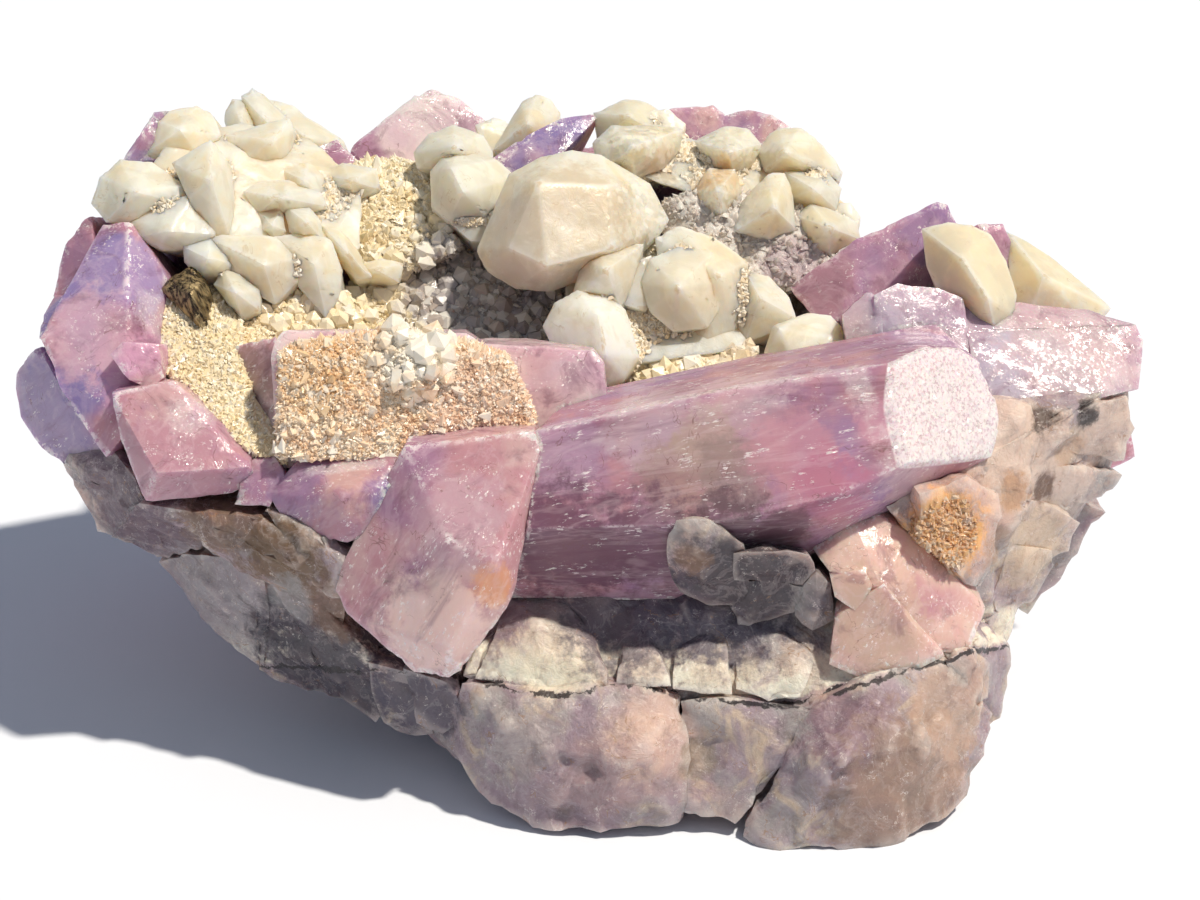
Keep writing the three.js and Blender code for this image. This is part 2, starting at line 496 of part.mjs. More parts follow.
function rockFront() {
  return [
    grown([[-24, -42, -50], [0, -42.8, -54], [8, -41.8, -53], [14, -44, -53],
      [15, -55, -58], [13.8, -66.2, -60], [10, -66.6, -61], [0, -68, -62], [-7, -68.3, -61.5],
      [-12, -67.2, -60], [-16.5, -64.8, -57], [-21.5, -60.5, -53], [-25.5, -54, -49],
      [-26.5, -46, -47]],
    [[-13, -52, -58.5], [5, -56, -62.5]], [4, 24, -3]),
    grown([[14.5, -45, -54], [25, -44.3, -55], [31, -46, -56], [38, -46, -57],
      [33, -55, -60.5], [28, -62, -61], [24, -66.3, -61], [22, -64.8, -60],
      [15, -63.3, -59]], [], [0, 24, -4]),
    grown([[37.5, -46, -57], [47, -41, -55], [60, -37.5, -50], [65, -42, -48],
      [70.5, -47, -43], [69.5, -49.5, -43], [66.5, -53, -47], [65.3, -57, -52],
      [65.3, -61.5, -53], [60, -66, -59], [50, -70.3, -64], [40, -71.3, -66],
      [31, -70.7, -65], [26, -68.5, -62], [27.5, -64, -61.5], [33, -55, -61]],
    [[43, -55, -66], [56, -52, -60]], [-2, 26, -3]),
    grown([[-16, -25, -37], [14, -24, -37.5], [24, -22, -38.5], [41, -24, -41],
      [43, -34, -47], [47, -41, -53], [38, -46, -55], [22, -43.5, -52], [8, -42.3, -50],
      [-13, -43, -49], [-24, -40, -47], [-19, -30, -41]], [], [0, 14, 4]),
    grown([[-19, -32, -44.5], [-11, -31, -46], [-6, -35, -48.5], [0, -39, -51.5],
      [1, -42.5, -53.5], [-13, -43.2, -52], [-22, -40.5, -49]], [], [0, 8, 4]),
    grown([[4, -36.5, -48.5], [11, -36, -49], [12.5, -42, -53.5], [3, -41.5, -52.5]], [],
      [0, 8, 2]),
    grown([[13, -36.5, -48.5], [19, -34, -47.5], [22.5, -36, -49], [23, -43, -54.5],
      [13, -42.5, -53.5]], [], [0, 8, 2]),
    grown([[24, -34, -46], [33, -33, -47], [37, -37, -50.5], [36, -44.5, -56.5],
      [30, -45, -56], [24.5, -42.5, -53.5]], [], [0, 8, 2]),
    grown([[12.3, -15, -50], [14, -13, -50.5], [19, -12.8, -51], [20.5, -15.8, -51],
      [25.3, -17, -50.5], [27, -22, -49], [25, -27, -46.5], [19, -27, -46], [13, -24, -46.5]],
    [[18, -19, -50.5]], [0, 8, -3]),
    grown([[24, -18.5, -51], [33, -18, -51], [37, -18.8, -50], [38.5, -21.5, -49],
      [36, -24, -48.5], [24, -23, -49]], [], [0, 9, -2]),
    grown([[22.5, -24, -47], [30, -23, -48.5], [36, -24.5, -48.5], [35.5, -27.5, -47.5],
      [30, -29.7, -46], [25, -30.3, -45.5]], [], [0, 9, 0]),
    grown([[36, -24.5, -48], [38.5, -21.7, -48.5], [41, -24, -48], [41.5, -30, -47.5],
      [38, -31, -48], [35.5, -29, -47.5]], [], [0, 8, 0]),
  ];
}

function rockLeftFlank() {
  return [
    grown([[-96, -1, -13], [-87, 0, -21], [-83, -5, -28], [-81, -10, -31], [-78, -17, -24],
      [-85, -16, -19], [-89.3, -14, -16], [-91, -10, -14], [-94, -5, -13]], [], [8, 24, 2]),
    grown([[-82, -9.5, -33.5], [-73, -11, -34.5], [-68, -17, -32], [-77, -19, -20],
      [-87, -15.5, -17], [-84, -11, -28]], [], [10, 26, 0]),
    grown([[-78.3, -20, -18], [-74, -18.5, -24], [-66, -19, -31], [-60, -22, -34],
      [-59, -30, -33], [-60, -39.3, -27.5], [-66, -34.8, -24], [-69.5, -29, -21],
      [-74.5, -24.8, -18.5]], [], [12, 26, 4]),
    grown([[-60, -22, -33], [-50, -31, -37], [-45, -40, -36], [-45.5, -44.5, -33],
      [-53, -43, -30], [-56.5, -40, -27], [-61, -39.4, -26.5], [-62, -30, -31]], [],
    [8, 24, 4]),
    grown([[-62, -17, -36.5], [-56, -20, -38.5], [-48, -30, -41], [-40, -38, -43],
      [-36, -46, -41.5], [-40, -47.7, -38], [-46, -44, -35], [-50, -33, -38.5],
      [-58, -25, -36.5]], [], [4, 20, 2]),
    grown([[-73, -11, -34], [-60, -12, -37], [-52, -19, -40.5], [-45, -27, -42.5],
      [-46, -31, -41], [-54, -26, -39], [-60, -19, -37], [-70, -18, -32]], [], [2, 20, 2]),
    grown([[-60, -10.5, -36.5], [-54, -13, -38.5], [-48, -17.5, -41], [-45, -21, -43],
      [-46, -26, -43], [-51, -24, -41.5], [-55, -17, -39]], [], [2, 16, 2]),
    grown([[-41, -38, -43.5], [-35, -39.5, -45], [-31.5, -47, -44.5], [-30, -50.3, -42],
      [-34, -50.8, -39.5], [-38.5, -48.5, -39.5], [-41, -43, -41.5]], [], [4, 18, 2]),
    grown([[-35, -39, -45], [-27, -41.5, -48.5], [-24.5, -46, -48.5], [-25, -49, -47],
      [-28, -50, -46], [-32, -48, -45.5]], [], [2, 14, 2]),
    grown([[-29.5, -50, -43], [-25, -48, -47], [-23, -57, -50], [-26, -54.7, -46],
      [-28, -52.3, -43]], [], [6, 18, 0]),
    grown([[-66, -12, -30], [-50, -22, -36], [-40, -38, -38], [-32, -46, -38],
      [-40, -44, -32], [-60, -34, -24], [-76, -18, -18], [-86, -12, -14]], [], [12, 30, 4]),
  ];
}

function rockRightFlank() {
  return [
    grown([[68, 8, -24], [77, 7, -23], [89, 10, -18], [94, 11, -12], [93, 1, -12],
      [90.5, -5, -13], [86, -10, -16], [82, -18, -18], [77, -25, -20],
      [70, -31.5, -25], [66, -30, -36], [62, -22, -42], [57, -14, -42],
      [50, -9, -42], [69, -1, -33]], [], [-6, 30, 0]),
    grown([[70, 8, -25], [77, 8, -25], [78, 2, -27], [76, -7, -30], [70, -7, -34],
      [70.5, 2, -31]], [], [-4, 12, 0]),
    grown([[80, 5, -24], [88, 8, -20.5], [94, 9.5, -14], [94.5, 4, -14], [92.8, -1, -15],
      [88, -1, -18.5], [82, 0, -23.5]], [], [-4, 12, 0]),
    grown([[79, -3, -26], [86, -3, -21], [92.5, -4.5, -15], [91, -6.5, -15.5],
      [87, -9, -18.5], [81, -9, -23.5]], [], [-4, 12, 0]),
    grown([[70, -11, -34], [78, -9, -28], [83, -12, -23.5], [85.5, -13, -20], [83.5, -18, -20],
      [77, -21, -24], [72, -18, -31]], [], [-5, 12, 0]),
    grown([[73, -17, -31], [80, -18, -24.5], [81.5, -20.5, -21], [77.5, -26, -22.5],
      [71.5, -31, -27], [70, -26, -32.5]], [], [-5, 12, 0]),
    grown([[57, -8, -45], [65, -5, -40], [70, -8, -35.5], [70, -18, -37], [68, -25, -38.5],
      [63, -21, -43.5], [57, -16, -45.5]], [], [-2, 12, 0]),
    grown([[70, -31, -27], [72, -35, -30.5], [72.3, -42, -33], [71.5, -48, -36],
      [66, -51, -41], [60, -38, -48.5], [65, -33, -46]], [], [-4, 24, 0]),
    grown([[62, -37.5, -49.5], [66, -36, -46.5], [69, -38, -43], [69, -44, -44.5],
      [66, -44, -47.5]], [], [-2, 10, 0]),
  ];
}

function rockBack() {
  return [
    grown([[12, 44, 15], [20, 47, 18], [28, 45, 19], [38, 42, 19], [45, 37, 15],
      [40, 30, 9], [26, 29, 7], [10, 26, 8]], [], [0, 16, -14]),
    cube([-30, 40, -20], [34, 16, 30], [24, 8, 10]),
    cube([4, 46, -12], [30, 18, 26], [28, -10, -8]),
    cube([30, 38, -24], [26, 18, 28], [36, 12, -20]),
    cube([58, 22, -18], [24, 26, 22], [20, 24, 34]),
    cube([72, 2, -10], [20, 30, 24], [4, 30, 8]),
    cube([-56, 24, -14], [22, 30, 22], [10, -30, 20]),
    cube([-8, 32, -30], [40, 16, 24], [16, 4, 4]),
    cube([54, -10, -32], [22, 40, 18], [6, 20, 4]),
  ];
}

function rockBody() {
  return [rockCore(), ...rockFront(), ...rockLeftFlank(), ...rockRightFlank(), ...rockBack()];
}

// In order of growth from last to first: each keeps its shape and cuts its seat in the later ones.
const PIECES = [
  ["calcite_left", MATERIALS.calcite, calciteLeft()],
  ["calcite_middle", MATERIALS.calcite, calciteMiddle()],
  ["calcite_rear_prong", MATERIALS.calcite, calciteRearProng()],
  ["calcite_centre", MATERIALS.calcite, calciteCentre()],
  ["calcite_behind_beam", MATERIALS.calcite, calciteBehindBeam()],
  ["calcite_rear_right", MATERIALS.calcite, calciteRearRight()],
  ["calcite_right", MATERIALS.calcite, calciteRight()],
  ["calcite_right_rear", MATERIALS.calcite, calciteRightRear()],
  ["calcite_back", MATERIALS.calcite, calciteBack()],
  ["sulphide_crystal", MATERIALS.sulphide, sulphideCrystal()],
  ["fluorite_front_block", MATERIALS.fluorite, fluoriteFrontBlock()],
  ["fluorite_beam", MATERIALS.fluorite, fluoriteBeam()],
  ["fluorite_pocket_block", MATERIALS.fluorite, fluoritePocketBlock()],
  ["fluorite_front_left", MATERIALS.fluorite, fluoriteFrontLeft()],
  ["fluorite_left", MATERIALS.fluorite, fluoriteLeft()],
  ["fluorite_left_rear", MATERIALS.fluorite, fluoriteLeftRear()],
  ["fluorite_right", MATERIALS.fluorite, fluoriteRight()],
  ["fluorite_rear_right", MATERIALS.fluorite, fluoriteRearRight()],
  ["fluorite_rear_peak", MATERIALS.fluorite, fluoriteRearPeak()],
  ["fluorite_rear_centre", MATERIALS.fluorite, fluoriteRearCentre()],
  ["fluorite_pocket_floor", MATERIALS.fluorite, fluoritePocketFloor()],
  ["fluorite_lower_right", MATERIALS.fluorite, fluoriteLowerRight()],
  ["fluorite_back_left", MATERIALS.fluorite, fluoriteBackLeft()],
  ["fluorite_back_right", MATERIALS.fluorite, fluoriteBackRight()],
  ["quartz_block_face", MATERIALS.quartz, quartzBlockFace()],
  ["quartz_pocket_crust", MATERIALS.quartz, quartzPocketCrust()],
  ["rock_body", MATERIALS.rock, rockBody()],
];

const specimen = new THREE.Group();
const below = new THREE.BoxGeometry(CUT_REACH, CUT_REACH, CUT_REACH);
below.translate(0, 0, REST_PLANE - CUT_REACH / 2);
let seats = solidOf(below);
for (const [name, material, lumps] of PIECES) {
  const whole = joined(lumps.map(hull)).subtract(seats);
  specimen.add(meshOf(name, largestPiece(whole).simplify(FACET_TOLERANCE), material));
  seats = seats.add(joined(lumps.map((lump) => hull(widened(lump, CRYSTAL_GAP)))));
}

const box = new THREE.Box3().setFromObject(specimen);
const middle = box.getCenter(new THREE.Vector3());
specimen.position.set(-middle.x, -middle.y, -box.min.z);

export default specimen;
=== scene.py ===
import itertools
import math

import bmesh
import bpy
import numpy as np
from mathutils import Euler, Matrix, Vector


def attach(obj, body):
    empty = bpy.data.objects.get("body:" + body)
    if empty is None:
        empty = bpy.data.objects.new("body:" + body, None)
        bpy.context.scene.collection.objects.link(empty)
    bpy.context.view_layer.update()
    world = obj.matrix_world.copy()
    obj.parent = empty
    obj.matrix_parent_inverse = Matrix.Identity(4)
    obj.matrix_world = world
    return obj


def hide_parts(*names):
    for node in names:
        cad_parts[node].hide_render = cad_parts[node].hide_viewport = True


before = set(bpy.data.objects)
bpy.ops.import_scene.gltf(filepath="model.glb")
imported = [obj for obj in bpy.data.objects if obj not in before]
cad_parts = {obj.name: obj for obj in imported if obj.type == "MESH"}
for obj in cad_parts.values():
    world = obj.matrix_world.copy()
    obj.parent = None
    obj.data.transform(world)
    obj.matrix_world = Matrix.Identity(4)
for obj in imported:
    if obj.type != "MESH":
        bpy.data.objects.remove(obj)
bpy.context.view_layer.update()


# Camera
# It looks down on the specimen from the front, as far off and as high as the photograph's.

eye_distance = 0.7
eye_elevation = math.radians(25)
view_middle = Vector((0.0037, -0.0003, 0.0435))
camera = bpy.data.objects.new("camera", bpy.data.cameras.new("camera"))
bpy.context.collection.objects.link(camera)
camera.data.lens = 117.8
camera.data.sensor_width = 36
camera.location = view_middle + eye_distance * Vector(
    (0, -math.cos(eye_elevation), math.sin(eye_elevation))
)
camera.rotation_euler = Euler((math.pi / 2 - eye_elevation, 0, 0))
bpy.context.scene.camera = camera


# Floor and light
# A pale floor, one warm key light high on the right and a cool fill from all round.

floor = bpy.data.objects.new("floor", bpy.data.meshes.new("floor"))
floor.data.from_pydata(
    [(-3, -3, 0), (3, -3, 0), (3, 3, 0), (-3, 3, 0)], [], [(0, 1, 2, 3)]
)
bpy.context.collection.objects.link(floor)
floor_paint = bpy.data.materials.new("floor_paint")
floor_paint.use_nodes = True
paint = floor_paint.node_tree.nodes["Principled BSDF"]
paint.inputs["Base Color"].default_value = (0.8, 0.84, 0.92, 1)
paint.inputs["Roughness"].default_value = 0.9
floor.data.materials.append(floor_paint)

key_height = math.radians(62)
key_turn = math.radians(70)
key = bpy.data.objects.new("key", bpy.data.lights.new("key", "SUN"))
key.data.energy = 3.8
key.data.angle = math.radians(2.5)
key.data.color = (1.0, 0.92, 0.79)
key.rotation_euler = Euler((math.pi / 2 - key_height, 0, key_turn))
bpy.context.collection.objects.link(key)
world = bpy.data.worlds.new("studio")
world.use_nodes = True
world.node_tree.nodes["Background"].inputs["Color"].default_value = (0.76, 0.85, 1, 1)
world.node_tree.nodes["Background"].inputs["Strength"].default_value = 0.3
bpy.context.scene.world = world
bpy.context.scene.view_settings.view_transform = "Standard"


# Rock body
# Massive fluorite and quartz, grey to mauve, broken along rough blocky faces. A dark vein
# dips through it across the front, with brown stains in its seams and iron on the right.


def scattered(corners, seed, count):
    """Numbers from 0 to 1, always the same for the same corner of a grid."""
    spread = np.sin(np.arange(1, 3 * count + 1).reshape(3, count) * 12.99 + seed) * 97
    return np.modf(np.abs(np.sin(corners @ spread) * 43758.5))[0]


def soft_noise(points, size, seed):
    """Smooth lumps about size across, from -0.5 to 0.5."""
    corner = np.floor(points / size)
    ease = points / size - corner
    ease = ease * ease * (3 - 2 * ease)
    total = np.zeros(len(points))
    for step in itertools.product((0, 1), repeat=3):
        weight = np.where(step, ease, 1 - ease).prod(axis=1)
        total += weight * scattered(corner + step, seed, 1)[:, 0]
    return total - 0.5


def broken_faces(points, size, seed):
    """How far each point stands out where small flat faces, size across, tilt at random."""
    cell = np.floor(points / size)
    nearest = np.full(len(points), np.inf)
    second = np.full(len(points), np.inf)
    height = np.zeros(len(points))
    for step in itertools.product((-1, 0, 1), repeat=3):
        corner = cell + step
        chance = scattered(corner, seed, 6)
        away = points / size - corner - chance[:, :3]
        far = np.sqrt((away**2).sum(axis=1))
        closer = far < nearest
        second = np.where(closer, nearest, np.minimum(second, far))
        nearest = np.where(closer, far, nearest)
        height = np.where(closer, (away * (chance[:, 3:] - 0.5)).sum(axis=1), height)
    return height * np.clip((second - nearest) * 5, 0, 1)


def drawn_in(points, links, passes):
    """The points after each pass has drawn them half way to their neighbours' mean."""
    here, there = np.concatenate([links, links[:, ::-1]]).T
    share = 0.5 / np.bincount(here, minlength=len(points))
    for _ in range(passes):
        pull = [np.bincount(here, points[there, k], len(points)) for k in range(3)]
        points = points / 2 + np.stack(pull, axis=1) * share[:, None]
    return points


def vector_field(data, kind):
    """A mesh's coordinates or normals as rows of three numbers."""
    values = np.empty(len(data) * 3)
    data.foreach_get(kind, values)
    return values.reshape(-1, 3)


meeting_growth = 0.0003
weld_distance = 0.00001
most_halvings = 12
edge_passes = 10
grit_passes = 6


def crystal_mesh(name, node, span, lumps, faces, chips=(), along=None, crisp=26, seed=1):
    """
    The CAD solid in triangles no longer than span, grown by a hair to meet its neighbours.
    Lumps, broken faces and edge chips are pairs of size and depth, drawn out by a ratio along
    a direction. Edges that turn by more than crisp, in degrees, are drawn sharp.
    """
    mesh = bpy.data.meshes.new(name)
    piece = bpy.data.objects.new(name, mesh)
    bpy.context.collection.objects.link(piece)
    shape = bmesh.new()
    shape.from_mesh(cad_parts[node].data)
    bmesh.ops.remove_doubles(shape, verts=shape.verts, dist=weld_distance)
    for _ in range(most_halvings):
        long = [edge for edge in shape.edges if edge.calc_length() > span]
        if not long:
            break
        bmesh.ops.subdivide_edges(shape, edges=long, cuts=1)
        bmesh.ops.triangulate(shape, faces=shape.faces)
    shape.to_mesh(mesh)
    shape.free()
    links = np.empty(len(mesh.edges) * 2, dtype=np.int32)
    mesh.edges.foreach_get("vertices", links)
    links = links.reshape(-1, 2)
    points = vector_field(mesh.vertices, "co")
    normals = vector_field(mesh.vertices, "normal")
    worn = drawn_in(points, links, edge_passes)
    usual = 0.4 * span * math.sqrt(edge_passes)
    relief = ((points - worn) * normals).sum(axis=1) / usual
    places = points.copy()
    if along:
        direction = np.array(along[0]) / np.linalg.norm(along[0])
        drawn = (places @ direction)[:, None] * direction
        places += drawn * (1 / along[1] - 1)
    rise = np.full(len(points), meeting_growth)
    for size, depth in lumps:
        seed += 1
        rise += soft_noise(places, size, seed) * depth
    for size, depth in faces:
        seed += 1
        rise += broken_faces(places, size, seed) * depth
    edge = np.clip(relief * 2, 0, 1)
    for size, depth in chips:
        seed += 1
        rise -= edge * depth * np.clip(broken_faces(places, size, seed) * 3, 0, 1)
    points += normals * rise[:, None]
    points[:, 2] = np.maximum(points[:, 2], 0)
    mesh.vertices.foreach_set("co", points.ravel())
    after = drawn_in(points, links, grit_passes)
    fine = ((points - after) * normals).sum(axis=1) / span
    mesh.attributes.new("relief", "FLOAT", "POINT").data.foreach_set("value", relief)
    mesh.attributes.new("grit", "FLOAT", "POINT").data.foreach_set("value", fine)
    mesh.polygons.foreach_set("use_smooth", [True] * len(mesh.polygons))
    mesh.set_sharp_from_angle(angle=math.radians(crisp))
    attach(piece, "root")
    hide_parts(node)
    return piece


grain_sides = 5


def grain_mesh(seats, ups, sizes, rng, shaft):
    """Pointed grains at their seats, with or without a shaft, as corners and faces."""
    count = len(seats)
    side = np.cross(ups, rng.normal(0, 1, (count, 3)))
    side /= np.linalg.norm(side, axis=1)[:, None]
    other = np.cross(ups, side)
    width = sizes * rng.uniform(0.38, 0.7, count)
    height = sizes * rng.uniform(0.4, 1.0, count)
    sides = grain_sides
    turn = np.arange(sides) * 2 * math.pi / sides
    ring = side[:, None] * np.cos(turn)[:, None] + other[:, None] * np.sin(turn)[:, None]
    ring *= width[:, None, None]
    rings = [seats[:, None] + ring - (ups * sizes[:, None] * 0.3)[:, None]]
    if shaft:
        rings.append(seats[:, None] + ring * 0.92 + (ups * height[:, None] * 0.5)[:, None])
    tip = (seats + ups * height[:, None])[:, None] + ring[:, :1] * 0.3
    corners = np.concatenate([*rings, tip], axis=1)
    last = sides * len(rings)
    faces = []
    for k in range(sides):
        n = (k + 1) % sides
        faces.append((last - sides + k, last - sides + n, last))
        if shaft:
            faces.append((k, n, sides + n))
            faces.append((k, sides + n, sides + k))
    steps = np.arange(count)[:, None, None] * (last + 1)
    return corners.reshape(-1, 3), (np.array(faces) + steps).reshape(-1, 3)


joint_passes = 40
joint_depth = 0.0005
joint_patch = 0.008
shafted_size = 0.0019


def grow_grains(piece, crops, seed, in_joints=False):
    """
    Crops of grains joined to a piece. Each crop has its count and size, and a middle and
    radius in mm or None for all over. They grow where the piece faces up or forward, or only
    in its joints.
    """
    mesh = piece.data
    points = vector_field(mesh.vertices, "co")
    mesh.calc_loop_triangles()
    corners = np.empty(len(mesh.loop_triangles) * 3, dtype=np.int32)
    mesh.loop_triangles.foreach_get("vertices", corners)
    corners = corners.reshape(-1, 3)
    tri = points[corners]
    cross = np.cross(tri[:, 1] - tri[:, 0], tri[:, 2] - tri[:, 0])
    area = np.linalg.norm(cross, axis=1)
    facing = cross / np.maximum(area, 1e-12)[:, None]
    shown = area * np.clip(facing[:, 2] * 0.6 - facing[:, 1] * 0.6 + 0.4, 0, 1)
    if in_joints:
        links = np.empty(len(mesh.edges) * 2, dtype=np.int32)
        mesh.edges.foreach_get("vertices", links)
        worn = drawn_in(points, links.reshape(-1, 2), joint_passes)
        hollow = ((worn - points) * vector_field(mesh.vertices, "normal")).sum(axis=1)
        chance = np.clip(hollow[corners].mean(axis=1) / joint_depth - 0.05, 0, 1)
        patchy = np.clip(soft_noise(tri.mean(axis=1), joint_patch, seed) * 4 + 0.4, 0, 1)
        shown *= chance * patchy
    rng = np.random.default_rng(seed)
    all_points, all_faces, tones = [], [], []
    total = 0
    for count, size, centre, radius in crops:
        chance = shown
        if centre:
            far = np.linalg.norm(tri.mean(axis=1) * 1000 - centre, axis=1)
            chance = shown * np.clip((radius - far) / (0.3 * radius), 0, 1)
        pick = rng.choice(len(tri), count, p=chance / chance.sum())
        a, b = np.sort(rng.random((2, count)), axis=0)
        weights = np.stack([a, b - a, 1 - b], axis=1)
        seats = (tri[pick] * weights[:, :, None]).sum(axis=1)
        ups = facing[pick] + rng.normal(0, 0.45, (count, 3))
        ups /= np.linalg.norm(ups, axis=1)[:, None]
        sizes = size * np.clip(np.exp(rng.normal(0, 0.3, count)), 0.5, 1.5)
        grains, faces = grain_mesh(seats, ups, sizes, rng, size > shafted_size)
        all_points.append(grains)
        all_faces.append(faces + total)
        tones.append(np.repeat(rng.uniform(0.4, 1.0, count), len(grains) // count))
        total += len(grains)
    points = np.concatenate(all_points)
    points[:, 2] = np.maximum(points[:, 2], 0)
    grown = bpy.data.meshes.new(piece.name + "_grains")
    grown.from_pydata(points.tolist(), [], np.concatenate(all_faces).tolist())
    tone = grown.attributes.new("tone", "FLOAT", "POINT")
    tone.data.foreach_set("value", np.concatenate(tones))
    grains = bpy.data.objects.new(grown.name, grown)
    bpy.context.collection.objects.link(grains)
    both = {"active_object": piece, "selected_editable_objects": [piece, grains]}
    with bpy.context.temp_override(**both):
        bpy.ops.object.join()


class Recipe:
    """A material's nodes, joined by short calls that each give back a socket."""

    def __init__(self, name):
        self.material = bpy.data.materials.new(name)
        self.material.use_nodes = True
        self.tree = self.material.node_tree
        self.shader = self.tree.nodes["Principled BSDF"]
        self.place = self.node("ShaderNodeTexCoord").outputs["Object"]
        self.face = self.node("ShaderNodeNewGeometry").outputs["Normal"]
        self.ragged = self.noise(0.0035, 4, 0.7)

    def node(self, kind, inputs=(), **settings):
        made = self.tree.nodes.new(kind)
        for key, value in settings.items():
            setattr(made, key, value)
        for key, value in dict(inputs).items():
            if isinstance(value, bpy.types.NodeSocket):
                self.tree.links.new(value, made.inputs[key])
            else:
                made.inputs[key].default_value = value
        return made

    def stretched(self, turn, scale):
        """Places turned and then scaled, for streaks and layers."""
        turned = self.node(
            "ShaderNodeMapping", {"Vector": self.place, "Rotation": turn}
        ).outputs[0]
        return self.node("ShaderNodeMapping", {"Vector": turned, "Scale": scale}).outputs[0]

    def noise(self, size, detail=3, rough=0.55, warp=0, place=None):
        """Noise from 0 to 1 whose lumps are size metres across."""
        settings = {"Scale": 1 / size, "Detail": detail, "Roughness": rough}
        settings.update({"Vector": place or self.place, "Distortion": warp})
        return self.node("ShaderNodeTexNoise", settings).outputs[0]

    def wisps(self, size, width, detail=4, warp=0.6, place=None):
        """1 on thin winding lines, 0 between them."""
        off = self.math("SUBTRACT", self.noise(size, detail, 0.6, warp, place), 0.5)
        return self.range(self.math("ABSOLUTE", off), width, 0)

    def cells(self, size, output, place=None):
        settings = {"Vector": place or self.place, "Scale": 1 / size}
        return self.node("ShaderNodeTexVoronoi", settings).outputs[output]

    def range(self, value, low, high, to=(0, 1)):
        """value from low to high, eased, as a number between the two in to."""
        settings = {"Value": value, 1: low, 2: high, 3: to[0], 4: to[1]}
        return self.node(
            "ShaderNodeMapRange", settings, interpolation_type="SMOOTHSTEP"
        ).outputs[0]

    def mix(self, factor, first, second, blend="MIX"):
        made = self.node(
            "ShaderNodeMix", {"Factor": factor}, data_type="RGBA", blend_type=blend
        )
        for socket, value in ((made.inputs[6], first), (made.inputs[7], second)):
            if isinstance(value, bpy.types.NodeSocket):
                self.tree.links.new(value, socket)
            else:
                socket.default_value = (*value, 1)
        return made.outputs[2]

    def math(self, operation, *values, clamp=False):
        inputs = dict(enumerate(values))
        return self.node(
            "ShaderNodeMath", inputs, operation=operation, use_clamp=clamp
        ).outputs[0]

    def vector(self, operation, first, second, output=0):
        inputs = {0: first, 1: second}
        return self.node(
            "ShaderNodeVectorMath", inputs, operation=operation
        ).outputs[output]

    def attribute(self, name):
        return self.node("ShaderNodeAttribute", attribute_name=name).outputs["Fac"]

    def spot(self, centre, radius, ragged=0.9):
        """1 within radius of a centre, both in mm, and 0 outside, with a ragged edge."""
        centre = [c / 1000 for c in centre]
        far = self.vector("DISTANCE", self.place, centre, "Value")
        edge = self.math("SUBTRACT", self.ragged, 0.5)
        edge = self.math("MULTIPLY", edge, 2 * ragged * radius / 1000)
        far = self.math("ADD", far, edge)
        return self.range(far, radius * 0.00125, radius * 0.0007)

    def line(self, start, end, radius, ragged=0.9):
        """1 within radius of the line between two places, all in mm, and 0 outside."""
        start = Vector(start) / 1000
        along = Vector(end) / 1000 - start
        away = self.vector("SUBTRACT", self.place, start)
        share = self.vector("DOT_PRODUCT", away, along / along.length_squared, "Value")
        share = self.math("MULTIPLY", share, 1.0, clamp=True)
        foot = self.node("ShaderNodeVectorMath", {0: along, 3: share}, operation="SCALE")
        far = self.vector("DISTANCE", away, foot.outputs[0], "Value")
        edge = self.math("SUBTRACT", self.ragged, 0.5)
        far = self.math("MULTIPLY_ADD", edge, 2 * ragged * radius / 1000, far)
        return self.range(far, radius * 0.00125, radius * 0.0006)

    def zones(self, colour, zones):
        """colour with ragged zones of other shades laid over it, each by its share."""
        for centre, radius, shade, share in zones:
            mask = self.math("MULTIPLY", self.spot(centre, radius), share)
            colour = self.mix(mask, colour, shade)
        return colour

    def turned_to(self, direction, low=0.7, high=0.85):
        """1 on faces turned to a direction."""
        length = math.sqrt(sum(d * d for d in direction))
        unit = [d / length for d in direction]
        return self.range(self.vector("DOT_PRODUCT", self.face, unit, "Value"), low, high)

    def on_plane(self, centre, direction, depth=0.0009):
        """1 on the one flat face that has its middle at a centre and faces a direction."""
        length = math.sqrt(sum(d * d for d in direction))
        unit = [d / length for d in direction]
        away = self.vector("SUBTRACT", self.place, [c / 1000 for c in centre])
        off = self.math("ABSOLUTE", self.vector("DOT_PRODUCT", away, unit, "Value"))
        return self.range(off, depth * 1.2, depth * 0.8)

    def glitter(self, size, tilt):
        """A normal that tips at random from cell to cell, as fine crystal faces do."""
        tipped = self.vector("SUBTRACT", self.cells(size, "Color"), (0.5, 0.5, 0.5))
        scaled = self.node("ShaderNodeVectorMath", {0: tipped, 3: tilt}, operation="SCALE")
        joined = self.vector("ADD", scaled.outputs[0], self.face)
        return self.node(
            "ShaderNodeVectorMath", {0: joined}, operation="NORMALIZE"
        ).outputs[0]

    def bump(self, height, depth, strength=1.0, normal=None):
        inputs = {"Height": height, "Distance": depth, "Strength": strength}
        if normal:
            inputs["Normal"] = normal
        return self.node("ShaderNodeBump", inputs).outputs[0]

    def finish(self, **sockets):
        for key, value in sockets.items():
            socket = self.shader.inputs[key.replace("_", " ")]
            if isinstance(value, bpy.types.NodeSocket):
                self.tree.links.new(value, socket)
            else:
                socket.default_value = value
        return self.material


